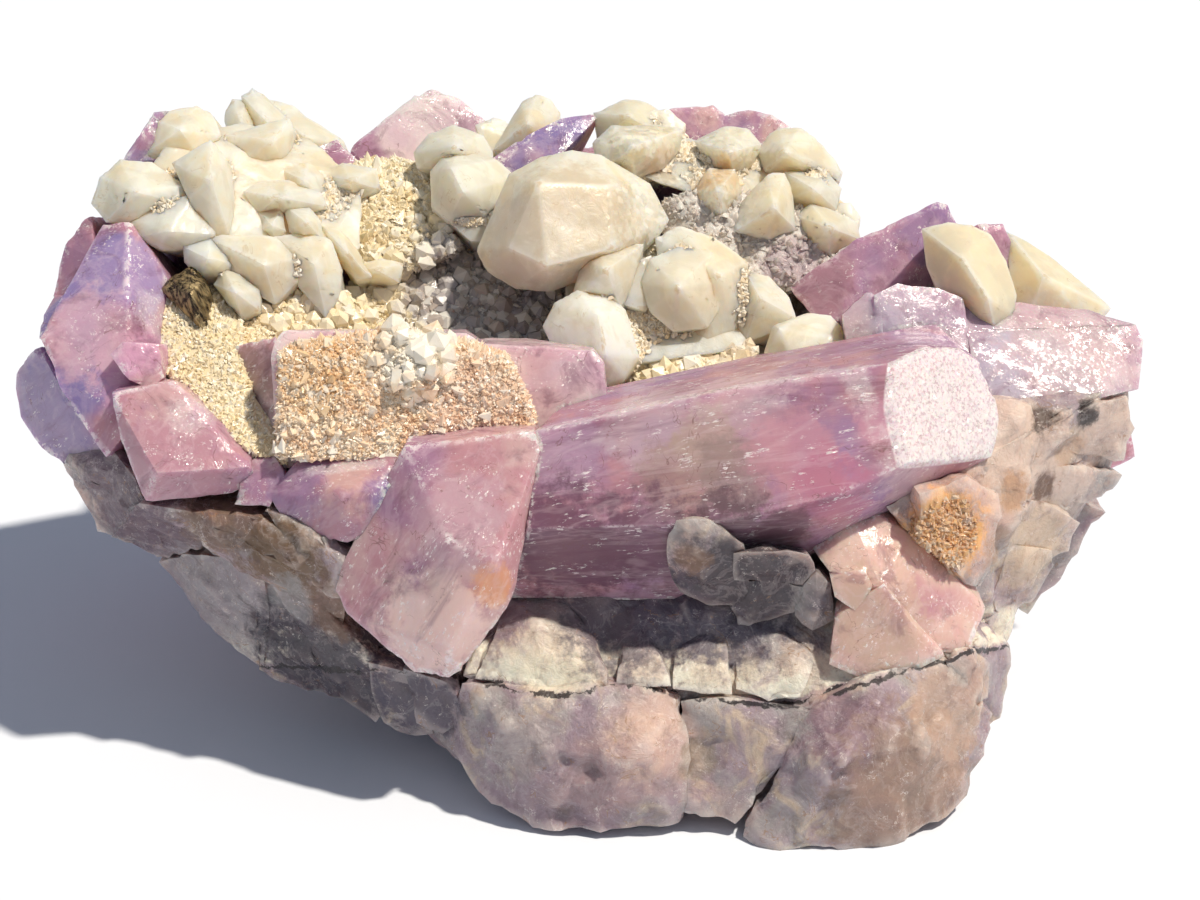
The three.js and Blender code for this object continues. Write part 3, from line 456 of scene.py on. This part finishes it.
mauve = (0.36, 0.27, 0.31)
smoke = (0.4, 0.36, 0.35)
# painted shade: a dark blue-grey laid into the rock's colour where shade falls, under the beam and
# on the lower left flank
painted_shade = (0.1, 0.085, 0.12)
straw = (0.66, 0.52, 0.38)
blush = (0.68, 0.45, 0.38)
rust = (0.36, 0.2, 0.11)
iron = (0.78, 0.38, 0.15)
cream_quartz = (0.95, 0.86, 0.7)
rock_zones = (
    ((-76, -26, 45), 14, (0.15, 0.1, 0.13), 0.9),
    ((-61, -27, 26), 13, (0.34, 0.3, 0.32), 0.8),
    # painted shade: the lower left flank, which turns away from the key light, darkened in its
    # colour
    ((-44, -36, 20), 14, (0.06, 0.05, 0.07), 0.95),
    ((-28, -46, 18), 9, painted_shade, 0.9),
    ((-60, -35, 47), 9, (0.2, 0.12, 0.08), 0.85),
    ((-50, -40, 41), 8, (0.18, 0.1, 0.05), 0.9),
    ((-42, -42, 33), 6, (0.2, 0.11, 0.07), 0.8),
    ((-50, -38, 33), 5, (0.36, 0.34, 0.34), 0.7),
    ((-2, -61, 8), 13, (0.3, 0.2, 0.25), 0.6),
    ((-10, -60, 16), 6, (0.5, 0.42, 0.4), 0.6),
    ((20, -58, 13), 3.5, (0.3, 0.24, 0.18), 0.7),
    ((46, -62, 20), 8, (0.26, 0.15, 0.2), 0.75),
    ((56, -62, 8), 15, (0.31, 0.2, 0.15), 0.8),
    ((64, -52, 20), 10, (0.55, 0.37, 0.28), 0.7),
    # pale quartz under the rear right cluster, lightened further as painted light where the
    # cluster's shadow falls
    ((30, 10, 80), 18, (0.95, 0.84, 0.76), 0.9),
    ((38, 8, 76), 6, (0.5, 0.33, 0.38), 0.7),
    ((-4, -50, 28), 7, (0.93, 0.8, 0.62), 0.7),
    ((12, -51, 27), 4, (0.66, 0.53, 0.44), 0.7),
    ((24, -52, 27), 6, (0.72, 0.6, 0.48), 0.7),
    ((38, -50, 29), 5, (0.6, 0.45, 0.36), 0.7),
    # painted shade under the beam's overhang, on the ledge and the small blocks; on the blocks it
    # is partly their own dark grey quartz
    ((8, -46, 36), 12, painted_shade, 0.85),
    ((24, -48, 38), 12, painted_shade, 0.9),
    ((38, -52, 38), 9, painted_shade, 0.85),
    ((30, -49, 45), 11, (0.085, 0.07, 0.08), 0.85),
    ((14, -51, 53), 4, (0.26, 0.23, 0.23), 0.8),
    ((19, -52, 46), 3.5, rust, 0.5),
    ((42, -52, 37), 3, rust, 0.5),
    ((66, -42, 50), 12, blush, 0.8),
    ((76, -30, 57), 10, (0.74, 0.56, 0.46), 0.85),
    ((81, -26, 45), 12, (0.64, 0.5, 0.43), 0.85),
    ((92, -16, 56), 9, (0.66, 0.5, 0.42), 0.8),
    ((78, -27, 37), 8, (0.66, 0.5, 0.36), 0.7),
    ((70, -36, 42), 4, rust, 0.5),
    ((62, -44, 48), 8, (0.9, 0.46, 0.18), 0.95),
    # painted shade: near-black spots where holes in the right flank lie in shade
    ((79, -24, 60), 3, (0.08, 0.05, 0.04), 0.9),
    ((87, -21, 60), 2.4, (0.05, 0.04, 0.04), 0.95),
    ((80, -27, 49), 2.5, (0.16, 0.09, 0.06), 0.9),
    ((73, -31, 50), 4, (0.55, 0.3, 0.16), 0.7),
    ((84, -22, 54), 3, (0.55, 0.36, 0.24), 0.6),
    ((-64, -19, 60), 6, (0.6, 0.45, 0.36), 0.7),
)
vein_line = (
    (-23, 1.5),
    (-15, -0.1),
    (-4, -1.7),
    (9, -0.3),
    (18, -1.8),
    (33, -3.4),
    (42, -1.4),
    (53, 1.6),
    (66, 5.0),
)
vein_lean = math.radians(25)


def vein_height(recipe):
    """How far a place lies above or below the leaning vein, in metres."""
    lean = (0, math.sin(vein_lean), math.cos(vein_lean))
    height = recipe.vector("DOT_PRODUCT", recipe.place, lean, "Value")
    across = recipe.node("ShaderNodeSeparateXYZ", {0: recipe.place}).outputs[0]
    first, last = vein_line[0][0], vein_line[-1][0]
    along = recipe.node(
        "ShaderNodeMapRange", {"Value": across, 1: first / 1000, 2: last / 1000}
    ).outputs[0]
    curve = recipe.node("ShaderNodeFloatCurve", {"Value": along})
    bend = curve.mapping.curves[0]
    span = 20
    for x, h in vein_line[1:-1]:
        bend.points.new((x - first) / (last - first), 0.5 + h / span)
    bend.points[0].location = (0, 0.5 + vein_line[0][1] / span)
    bend.points[-1].location = (1, 0.5 + vein_line[-1][1] / span)
    curve.mapping.update()
    middle = recipe.math("SUBTRACT", curve.outputs[0], 0.5)
    middle = recipe.math("MULTIPLY", middle, span / 1000)
    wander = recipe.math("SUBTRACT", recipe.noise(0.004, 4, 0.7), 0.5)
    middle = recipe.math("ADD", middle, recipe.math("MULTIPLY", wander, 0.004))
    return recipe.math("SUBTRACT", height, middle)


def rock_material():
    r = Recipe("rock")
    colour = r.mix(r.range(r.noise(0.013, 4, 0.6, 0.6), 0.38, 0.62), mauve, smoke)
    colour = r.mix(r.range(r.noise(0.008, 5, 0.6, 0.9), 0.5, 0.68, (0, 0.75)), colour, straw)
    colour = r.mix(r.range(r.noise(0.02, 3, 0.5), 0.52, 0.66, (0, 0.7)), colour, blush)
    height = vein_height(r)
    band = r.math(
        "MULTIPLY", r.range(height, 0.0004, 0.0014), r.range(height, 0.0085, 0.0055)
    )
    front = r.turned_to((0, -1, 0.2), 0.1, 0.3)
    band = r.math("MULTIPLY", band, r.math("MULTIPLY", front, 0.85))
    band = r.math("MULTIPLY", band, r.range(r.noise(0.006, 4, 0.7), 0.36, 0.5, (0.35, 1)))
    colour = r.zones(r.mix(band, colour, cream_quartz), rock_zones)
    murk = r.range(r.noise(0.005, 5, 0.7, 0.7), 0.5, 0.3, (0, 0.4))
    colour = r.mix(murk, colour, (0.14, 0.09, 0.1))
    veil = r.math("MULTIPLY", r.wisps(0.008, 0.03, 5, 0.9), 0.14)
    colour = r.mix(veil, colour, (0.78, 0.68, 0.66))
    thread = r.math("MULTIPLY", r.wisps(0.009, 0.005, 5), r.range(r.ragged, 0.48, 0.6, (0, 0.7)))
    colour = r.mix(thread, colour, (0.85, 0.76, 0.72))
    fine = r.noise(0.0009, 4, 0.8)
    # painted highlight: the glint specks are mixed pale into the colour as well as tipping the
    # normal
    glint = r.math("MULTIPLY", r.range(fine, 0.58, 0.7), r.range(r.ragged, 0.45, 0.6, (0.1, 0.8)))
    colour = r.mix(glint, colour, (0.9, 0.82, 0.76))
    ridge = r.range(r.attribute("grit"), 0.1, 0.4, (0, 0.25))
    colour = r.mix(ridge, colour, (0.86, 0.76, 0.7))
    cavity = r.range(r.attribute("grit"), -0.1, -0.5, (0, 0.4))
    colour = r.mix(cavity, colour, (0.12, 0.07, 0.07))
    seam = r.math("MULTIPLY", r.wisps(0.012, 0.008), r.range(r.ragged, 0.5, 0.6))
    colour = r.mix(r.math("MULTIPLY", seam, 0.7), colour, rust)
    wide = r.range(r.noise(0.006), 0.35, 0.6, (0.0001, 0.0006))
    line = r.math("SUBTRACT", wide, r.math("ABSOLUTE", height))
    line = r.range(line, 0, 0.00025, (0, 0.93))
    colour = r.mix(r.math("MULTIPLY", line, front), colour, (0.03, 0.024, 0.026))
    tone = r.attribute("tone")
    colour = r.mix(r.range(tone, 0.5, 1.0, (0, 0.4)), colour, (0.97, 0.88, 0.74))
    normal = r.glitter(0.0008, r.math("MULTIPLY_ADD", glint, 0.9, 0.16))
    rough = r.math("ADD", r.noise(0.003, 6, 0.7, 0.6), r.math("MULTIPLY", fine, 0.3))
    normal = r.bump(rough, 0.0008, 0.7, normal)
    return r.finish(
        Base_Color=colour,
        Roughness=r.range(r.noise(0.004, 4, 0.7), 0.35, 0.62, (0.3, 0.1)),
        Normal=normal,
        Subsurface_Weight=0.4,
        Subsurface_Radius=(0.005, 0.003, 0.0025),
        Subsurface_Scale=1.0,
    )


rock = crystal_mesh(
    "rock",
    "rock_body",
    0.0021,
    lumps=((0.012, 0.0012), (0.005, 0.0005)),
    faces=((0.011, 0.0036), (0.0055, 0.0018), (0.0028, 0.0007)),
    crisp=22,
    seed=10,
)
grow_grains(rock, ((700, 0.0008, (62, -44, 48), 7), (3600, 0.0012, (28, 8, 80), 19)), 11)
rock.data.materials.append(rock_material())


# Fluorite
# Lilac, violet and pink crystals, cloudy inside, worn and frosted white along their edges
# and flecked along their length. They grew on the rock and into one another.

lilac = (0.4, 0.22, 0.33)
rose = (0.52, 0.27, 0.31)
violet = (0.27, 0.21, 0.42)
shell_pink = (0.6, 0.39, 0.39)
frost_white = (0.86, 0.79, 0.79)


def fluorite_material(name, shades, frost, streak, zones, frosts):
    """
    shades are deep, pale and tint. Each frost has a place, a radius in mm, a share and its
    kind: None for a ragged spot, "line" for one along an edge between the two places given,
    or the direction that a flat face with fine dots is turned to.
    """
    deep, pale, tint = shades
    r = Recipe(name)
    colour = r.mix(r.range(r.noise(0.01, 4, 0.6, 0.8), 0.35, 0.65), deep, pale)
    colour = r.mix(r.range(r.noise(0.02, 2, 0.5, 0.5), 0.48, 0.66), colour, tint)
    colour = r.zones(colour, zones)
    drawn = r.stretched(*streak)
    veil = r.math("MULTIPLY", r.wisps(0.007, 0.05, 4, 0.9, drawn), 0.16)
    colour = r.mix(veil, colour, (0.76, 0.6, 0.64))
    cloudy = r.range(r.noise(0.004, 4, 0.65, 1.2, drawn), 0.54, 0.74, (0, 0.22))
    colour = r.mix(cloudy, colour, (0.74, 0.58, 0.62))
    murk = r.range(r.noise(0.006, 4, 0.65, 0.8, drawn), 0.5, 0.3, (0, 0.45))
    colour = r.mix(murk, colour, (0.16, 0.06, 0.11))
    fleck = r.range(r.noise(0.0005, 3, 0.75, place=drawn), 0.57, 0.61)
    patch = r.range(r.noise(0.006, 5, 0.7, 0.6), 0.68 - 0.25 * frost, 0.74 - 0.22 * frost)
    edge = r.range(r.attribute("relief"), 0.12, 0.3)
    edge = r.math("MULTIPLY", edge, r.range(r.noise(0.0015, 4, 0.75), 0.46, 0.54))
    edge = r.math("MULTIPLY", edge, r.range(r.noise(0.011, 3, 0.6), 0.42, 0.6, (0.1, 0.8)))
    worn = r.math("MULTIPLY", patch, r.math("MULTIPLY_ADD", fleck, 0.8, 0.12))
    worn = r.math("MAXIMUM", worn, edge)
    for centre, radius, share, kind in frosts:
        if kind == "line":
            place = r.line(*centre, radius)
        else:
            place = r.spot(centre, radius, 0.5)
        place = r.math("MULTIPLY", place, share)
        if kind and kind != "line":
            dots = r.range(r.noise(0.0006, 3, 0.7), 0.62, 0.5, (0.45, 1))
            place = r.math("MULTIPLY", place, r.on_plane(centre, kind))
            place = r.math("MULTIPLY", place, dots)
        else:
            place = r.math("MULTIPLY", place, r.math("MULTIPLY_ADD", fleck, 0.65, 0.35))
        worn = r.math("MAXIMUM", worn, place)
    stray = r.math("MULTIPLY", fleck, r.range(r.noise(0.004, 4, 0.6), 0.52, 0.6, (0.03, 0.75)))
    worn = r.math("MAXIMUM", worn, stray, clamp=True)
    colour = r.mix(worn, colour, frost_white)
    crack = r.math("MULTIPLY", r.wisps(0.012, 0.006), r.range(r.ragged, 0.45, 0.6))
    colour = r.mix(r.math("MULTIPLY", crack, 0.6), colour, (0.2, 0.1, 0.09))
    normal = r.glitter(0.0005, r.math("MULTIPLY_ADD", worn, 0.9, 0.05))
    normal = r.bump(r.noise(0.0025, 5, 0.65, 0.6, drawn), 0.00025, 0.6, normal)
    return r.finish(
        Base_Color=colour,
        Roughness=r.range(r.noise(0.005, 5, 0.7), 0.35, 0.65, (0.08, 0.24)),
        Normal=normal,
        IOR=1.434,
        Subsurface_Weight=0.5,
        Subsurface_Radius=(0.006, 0.0028, 0.0042),
        Subsurface_Scale=1.0,
    )


def fluorite_crystal(
    name, shades, span=0.0015, frost=0.3, streak=None, zones=(), frosts=(), **mesh
):
    streak = streak or ((0.5, 0.6, 0.9), (0.35, 1, 1))
    node = "fluorite_" + name
    mesh.setdefault("lumps", ((0.009, 0.0004),))
    mesh.setdefault("faces", ((0.007, 0.0005), (0.0028, 0.0002)))
    mesh.setdefault("chips", ((0.003, 0.0007),))
    piece = crystal_mesh(name + "_fluorite", node, span, crisp=15, **mesh)
    material = fluorite_material(name, shades, frost, streak, zones, frosts)
    piece.data.materials.append(material)


fluorite_crystal(
    "beam",
    (lilac, rose, (0.38, 0.23, 0.38)),
    frost=0.3,
    span=0.0011,
    streak=((0, 0.17, 0), (0.2, 1, 1)),
    along=((1, 0, 0.17), 4),
    zones=(
        ((-3, -40, 62), 8, (0.46, 0.3, 0.42), 0.8),
        ((12, -38, 67), 9, (0.56, 0.42, 0.47), 0.7),
        ((28, -38, 70), 8, (0.62, 0.44, 0.48), 0.6),
        ((17, -46, 60), 7, (0.4, 0.27, 0.24), 0.75),
        ((21, -43, 65), 6, (0.5, 0.36, 0.31), 0.7),
        ((26, -46, 60), 7, (0.34, 0.24, 0.23), 0.8),
        ((36, -44, 63), 8, (0.58, 0.29, 0.35), 0.7),
        ((42, -46, 58), 7, (0.52, 0.2, 0.29), 0.7),
        ((50, -44, 69), 4, (0.58, 0.3, 0.38), 0.9),
        ((56, -44, 58), 6, (0.6, 0.4, 0.44), 0.8),
        # painted shade: dark purple on the beam's lower face, which turns down away from the light
        ((-2, -46, 46), 12, (0.17, 0.08, 0.12), 0.85),
        ((12, -47, 46), 11, (0.18, 0.09, 0.13), 0.85),
        ((25, -47, 50), 9, (0.15, 0.09, 0.11), 0.85),
        ((34, -47, 52), 6, (0.18, 0.1, 0.12), 0.8),
    ),
    frosts=(
        # the frosted end face, its fine white dots partly a painted highlight of the key light
        # glancing off it
        ((61, -36.5, 68.6), 19, 0.92, (0.62, -0.65, 0.44)),
        (((46, -38, 75), (51, -45, 63)), 2.6, 1.0, "line"),
        (((40, -36, 75), (50, -42, 69)), 1.4, 0.8, "line"),
        (((-8, -36, 64), (44, -38, 76)), 1.2, 0.9, "line"),
        (((14, -38, 67), (34, -40, 71)), 1.5, 0.5, "line"),
    ),
    seed=20,
)
fluorite_crystal(
    "front_block",
    (rose, shell_pink, lilac),
    frost=0.45,
    streak=((0, 1.1, 0), (0.35, 1, 1)),
    zones=(
        ((-14, -53, 43), 4, iron, 0.6),
        ((-24, -53, 35), 10, (0.84, 0.62, 0.56), 0.8),
        ((-20, -47, 52), 8, (0.56, 0.38, 0.45), 0.6),
    ),
    seed=30,
)
fluorite_crystal(
    "front_left",
    (lilac, rose, violet),
    frost=0.4,
    zones=(((-47, -36, 53), 6, violet, 0.4), ((-38, -38, 54), 5, blush, 0.6)),
    frosts=((((-52, -36, 56), (-33, -37, 58)), 1.2, 0.8, "line"),),
    seed=40,
)
fluorite_crystal(
    "pocket_block",
    ((0.62, 0.4, 0.44), (0.8, 0.6, 0.6), (0.6, 0.42, 0.5)),
    frost=0.4,
    zones=(((-56, -18, 64), 8, (0.36, 0.22, 0.2), 0.8),),
    frosts=((((-52, -22, 77), (3, -22, 74)), 0.9, 0.6, "line"),),
    seed=50,
)
fluorite_crystal(
    "left",
    (lilac, rose, violet),
    frost=0.25,
    zones=(
        ((-78, -7, 80), 8, (0.36, 0.27, 0.48), 0.85),
        ((-77, -18, 67), 7, (0.62, 0.34, 0.48), 0.8),
        ((-84, -15, 72), 8, (0.66, 0.42, 0.5), 0.75),
        ((-93, -12, 56), 10, (0.42, 0.32, 0.46), 0.7),
        ((-68, -34, 57), 10, (0.5, 0.27, 0.32), 0.8),
        ((-70, -24, 65), 6, shell_pink, 0.7),
    ),
    frosts=(
        ((-74, -10, 74), 4, 0.7, None),
        ((-66, -28, 62), 4, 0.8, None),
        (((-88, -14, 84), (-96, -14, 66)), 1.6, 0.9, "line"),
        (((-70, -18, 66), (-58, -34, 56)), 1.2, 0.7, "line"),
    ),
    seed=60,
)
fluorite_crystal("left_rear", (violet, lilac, (0.4, 0.4, 0.55)), seed=70)
fluorite_crystal(
    "right",
    (lilac, (0.7, 0.54, 0.56), (0.5, 0.44, 0.54)),
    frost=0.5,
    zones=(((58, -16, 76), 9, (0.5, 0.42, 0.52), 0.6), ((84, -10, 70), 12, shell_pink, 0.5)),
    frosts=(((86, -12, 67), 9, 0.6, None), ((90, -14, 62), 5, 0.7, None)),
    seed=80,
)
fluorite_crystal(
    "rear_right",
    ((0.42, 0.22, 0.32), (0.56, 0.33, 0.42), (0.42, 0.27, 0.42)),
    frost=0.1,
    zones=(((42, 6, 72), 7, (0.42, 0.24, 0.28), 0.7), ((62, 14, 80), 7, violet, 0.5)),
    seed=90,
)
fluorite_crystal(
    "rear_peak",
    ((0.66, 0.5, 0.56), (0.78, 0.66, 0.66), lilac),
    frost=0.4,
    zones=(((-38, 24, 90), 8, (0.4, 0.38, 0.7), 0.8),),
    seed=100,
)
fluorite_crystal("rear_centre", (lilac, shell_pink, violet), frost=0.6, seed=110)
fluorite_crystal("pocket_floor", ((0.36, 0.2, 0.3), (0.45, 0.27, 0.34), lilac), frost=0.2, seed=120)
fluorite_crystal(
    "lower_right",
    ((0.68, 0.42, 0.38), (0.74, 0.52, 0.44), rose),
    frost=0.4,
    zones=(((50, -50, 36), 9, (0.6, 0.42, 0.33), 0.7), ((54, -45, 47), 6, (0.74, 0.5, 0.42), 0.7)),
    seed=130,
)
fluorite_crystal("back_left", (lilac, rose, violet), span=0.0024, seed=140)
fluorite_crystal("back_right", (lilac, violet, rose), span=0.0024, seed=150)


# Calcite
# Blunt cream crystals with satin faces, milky inside so that light soaks into them, and
# fine tan lines where one face meets the next.

cream = (0.84, 0.72, 0.52)
milk = (0.82, 0.8, 0.7)


def calcite_crystal(
    name, pale, warm, zones=(), frosts=(), grains=(), seed=200, **mesh
):
    node = "calcite_" + name
    r = Recipe(node)
    colour = r.mix(r.range(r.noise(0.009, 4, 0.6, 1.0), 0.38, 0.68), pale, warm)
    colour = r.zones(colour, zones)
    crack = r.math("MULTIPLY", r.wisps(0.009, 0.009), r.range(r.ragged, 0.5, 0.62))
    colour = r.mix(r.math("MULTIPLY", crack, 0.5), colour, (0.5, 0.34, 0.18))
    veil = r.range(r.noise(0.0035, 5, 0.7, 1.0), 0.52, 0.72, (0, 0.35))
    colour = r.mix(veil, colour, (0.86, 0.8, 0.68))
    cloud = r.range(r.noise(0.006, 3, 0.6, 0.6), 0.55, 0.4, (0, 0.3))
    colour = r.mix(cloud, colour, (0.6, 0.54, 0.42))
    # painted light: edges lightened as if light shone through the thin crystal edges
    painted_edge_glow = r.range(r.attribute("relief"), 0.1, 0.3, (0, 0.35))
    colour = r.mix(painted_edge_glow, colour, (0.94, 0.9, 0.82))
    line = r.range(r.attribute("relief"), 0.25, 0.4)
    line = r.math("MULTIPLY", line, r.range(r.ragged, 0.5, 0.62, (0, 0.6)))
    colour = r.mix(line, colour, (0.62, 0.44, 0.24))
    foot = r.range(r.attribute("relief"), -0.12, -0.5, (0, 0.55))
    colour = r.mix(foot, colour, (0.5, 0.36, 0.22))
    tone = r.attribute("tone")
    grain = r.mix(r.range(tone, 0.4, 0.8), (0.94, 0.78, 0.54), (1.0, 0.95, 0.84))
    colour = r.mix(r.range(tone, 0.1, 0.3), colour, grain)
    sugar = 0.0
    for centre, radius, share in frosts:
        place = r.math("MULTIPLY", r.spot(centre, radius, 0.6), share)
        sugar = r.math("MAXIMUM", place, sugar)
    tilt = r.math("ADD", r.math("MULTIPLY", sugar, 0.9), 0.03)
    normal = r.glitter(0.0009, tilt)
    normal = r.bump(r.noise(0.003, 6, 0.65, 0.5), 0.0003, 0.5, normal)
    r.finish(
        Base_Color=colour,
        Roughness=r.range(r.noise(0.003, 4, 0.6), 0.35, 0.65, (0.3, 0.42)),
        Normal=normal,
        IOR=1.6,
        Specular_IOR_Level=0.35,
        Subsurface_Weight=r.range(tone, 0.1, 0.3, (0.8, 0.1)),
        Subsurface_Radius=(0.009, 0.007, 0.0045),
        Subsurface_Scale=1.0,
        Transmission_Weight=0.08,
    )
    mesh.setdefault("span", 0.0011)
    mesh.setdefault("lumps", ((0.006, 0.0002),))
    mesh.setdefault("faces", ((0.008, 0.0004),))
    mesh.setdefault("chips", ((0.0015, 0.0003),))
    piece = crystal_mesh(name + "_calcite", node, crisp=14, seed=seed, **mesh)
    if grains:
        grow_grains(piece, grains, seed, in_joints=True)
    piece.data.materials.append(r.material)


calcite_crystal(
    "left",
    milk,
    cream,
    grains=((1800, 0.0008, None, 0),),
    faces=((0.009, 0.0012), (0.004, 0.0005)),
    seed=210,
)
calcite_crystal("middle", milk, (0.8, 0.76, 0.62), grains=((300, 0.0008, None, 0),), seed=220)
calcite_crystal("rear_prong", cream, milk, seed=230)
calcite_crystal(
    "centre",
    milk,
    cream,
    zones=(
        ((-1, 1, 88), 10, (0.66, 0.55, 0.4), 0.8),
        ((-9, -1, 84), 9, (0.68, 0.6, 0.5), 0.7),
        # painted light: a near-white patch that lifts a front crystal turned away from the key
        # light
        ((2, -14, 71), 11, (0.98, 0.95, 0.86), 0.9),
        ((21, -2, 77), 7, (0.86, 0.78, 0.62), 0.7),
    ),
    frosts=(((11, 6, 86), 7, 0.9), ((8, 4, 82), 6, 0.8)),
    grains=((1600, 0.0009, None, 0), (500, 0.0008, (12, 8, 86), 8)),
    seed=240,
)
calcite_crystal("behind_beam", (0.96, 0.9, 0.76), cream, seed=250)
calcite_crystal(
    "rear_right",
    (0.88, 0.82, 0.68),
    cream,
    zones=(((24, 18, 89), 5, (0.8, 0.5, 0.28), 0.7), ((14, 20, 90), 4, (0.7, 0.5, 0.34), 0.6)),
    frosts=(((20, 18, 89), 14, 0.7), ((10, 20, 92), 8, 0.8)),
    grains=((3600, 0.0008, None, 0),),
    faces=((0.008, 0.0012), (0.004, 0.0005)),
    seed=260,
)
calcite_crystal("right", (0.8, 0.7, 0.52), cream, seed=270)
calcite_crystal("right_rear", cream, milk, seed=280)
calcite_crystal("back", cream, milk, span=0.0016, seed=290)


# Quartz druse
# Sugar-grained quartz: thousands of tiny pointed crystals on one crust in the pocket and on
# the face of the pocket block. The grains of each crust are one mesh with it.


def druse(name, node, crops, seed, material):
    """A crust with crops of grains on it, each with its count, size, middle and radius."""
    lumps = ((0.004, 0.0008),)
    piece = crystal_mesh(name, node, 0.0024, lumps, ((0.004, 0.0012),), seed=seed)
    grow_grains(piece, crops, seed)
    piece.data.materials.append(material)


def quartz_material(name, dark, light, zones=()):
    r = Recipe(name)
    tone = r.attribute("tone")
    colour = r.mix(r.range(r.noise(0.005, 4, 0.6), 0.35, 0.65), dark, light)
    colour = r.zones(colour, zones)
    colour = r.mix(r.range(tone, 0.65, 1.0, (0, 0.75)), colour, (0.98, 0.94, 0.84))
    colour = r.mix(r.range(tone, 0.6, 0.4, (0, 0.25)), colour, (0.66, 0.44, 0.22))
    normal = r.bump(r.noise(0.0006, 4, 0.7), 0.0002, 0.5)
    return r.finish(
        Base_Color=colour,
        Roughness=0.14,
        IOR=1.55,
        Normal=normal,
        Subsurface_Weight=0.1,
        Subsurface_Radius=(0.002, 0.0015, 0.001),
        Subsurface_Scale=1.0,
    )


sand = (0.93, 0.79, 0.52)
# painted shadow: the grey that the druse in the hollow takes from the calcites' shade
hollow_painted_shadow = (0.48, 0.46, 0.49)
druse(
    "pocket_druse",
    "quartz_pocket_crust",
    (
        (26000, 0.0008, None, 0),
        (700, 0.0021, (-16, 10, 68), 20),
        (200, 0.0022, (18, -2, 63), 18),
        (220, 0.002, (-46, 4, 70), 12),
        (300, 0.002, (26, 6, 68), 20),
        (500, 0.0016, (-38, 18, 80), 14),
    ),
    11,
    quartz_material(
        "pocket_quartz",
        sand,
        (0.92, 0.82, 0.6),
        (
            # painted shadow: grey and darker druse in the hollow, where the centre calcites cast
            # their shade
            ((-16, 10, 67), 15, hollow_painted_shadow, 0.85),
            ((-26, 10, 69), 7, (0.3, 0.27, 0.28), 0.5),
            ((-8, 8, 66), 7, (0.3, 0.26, 0.3), 0.6),
            ((30, 6, 68), 14, (0.62, 0.5, 0.42), 0.6),
        ),
    ),
)
druse(
    "block_druse",
    "quartz_block_face",
    (
        (14000, 0.0008, None, 0),
        (700, 0.0015, (-30, -33, 68), 24),
        (60, 0.0024, (-28, -27, 74), 8),
        (14, 0.0036, (-26, -27, 73), 4),
    ),
    12,
    quartz_material(
        "block_quartz",
        (0.92, 0.64, 0.42),
        (0.97, 0.8, 0.6),
        (
            ((-17, -31, 66), 9, (0.85, 0.6, 0.46), 0.7),
            ((-44, -30, 72), 7, (0.86, 0.56, 0.28), 0.6),
            ((-27, -27, 74), 7, (0.93, 0.87, 0.76), 0.9),
        ),
    ),
)


# Sulphide crystal
# One small dark metallic crystal, striated along its length, at the left of the pocket.

sulphide = crystal_mesh(
    "sulphide",
    "sulphide_crystal",
    0.0008,
    lumps=((0.002, 0.0004),),
    faces=((0.0012, 0.0008),),
    seed=300,
)
r = Recipe("sulphide")
lines = r.noise(0.0008, 4, 0.7, place=r.stretched((0, 0.5, 0), (1, 1, 0.2)))
tarnish = r.mix(r.range(lines, 0.4, 0.62), (0.04, 0.03, 0.02), (0.42, 0.32, 0.17))
r.finish(
    Base_Color=tarnish,
    Metallic=0.7,
    Roughness=r.range(lines, 0.3, 0.7, (0.22, 0.5)),
    Normal=r.bump(lines, 0.0004, 0.9),
)
sulphide.data.materials.append(r.material)
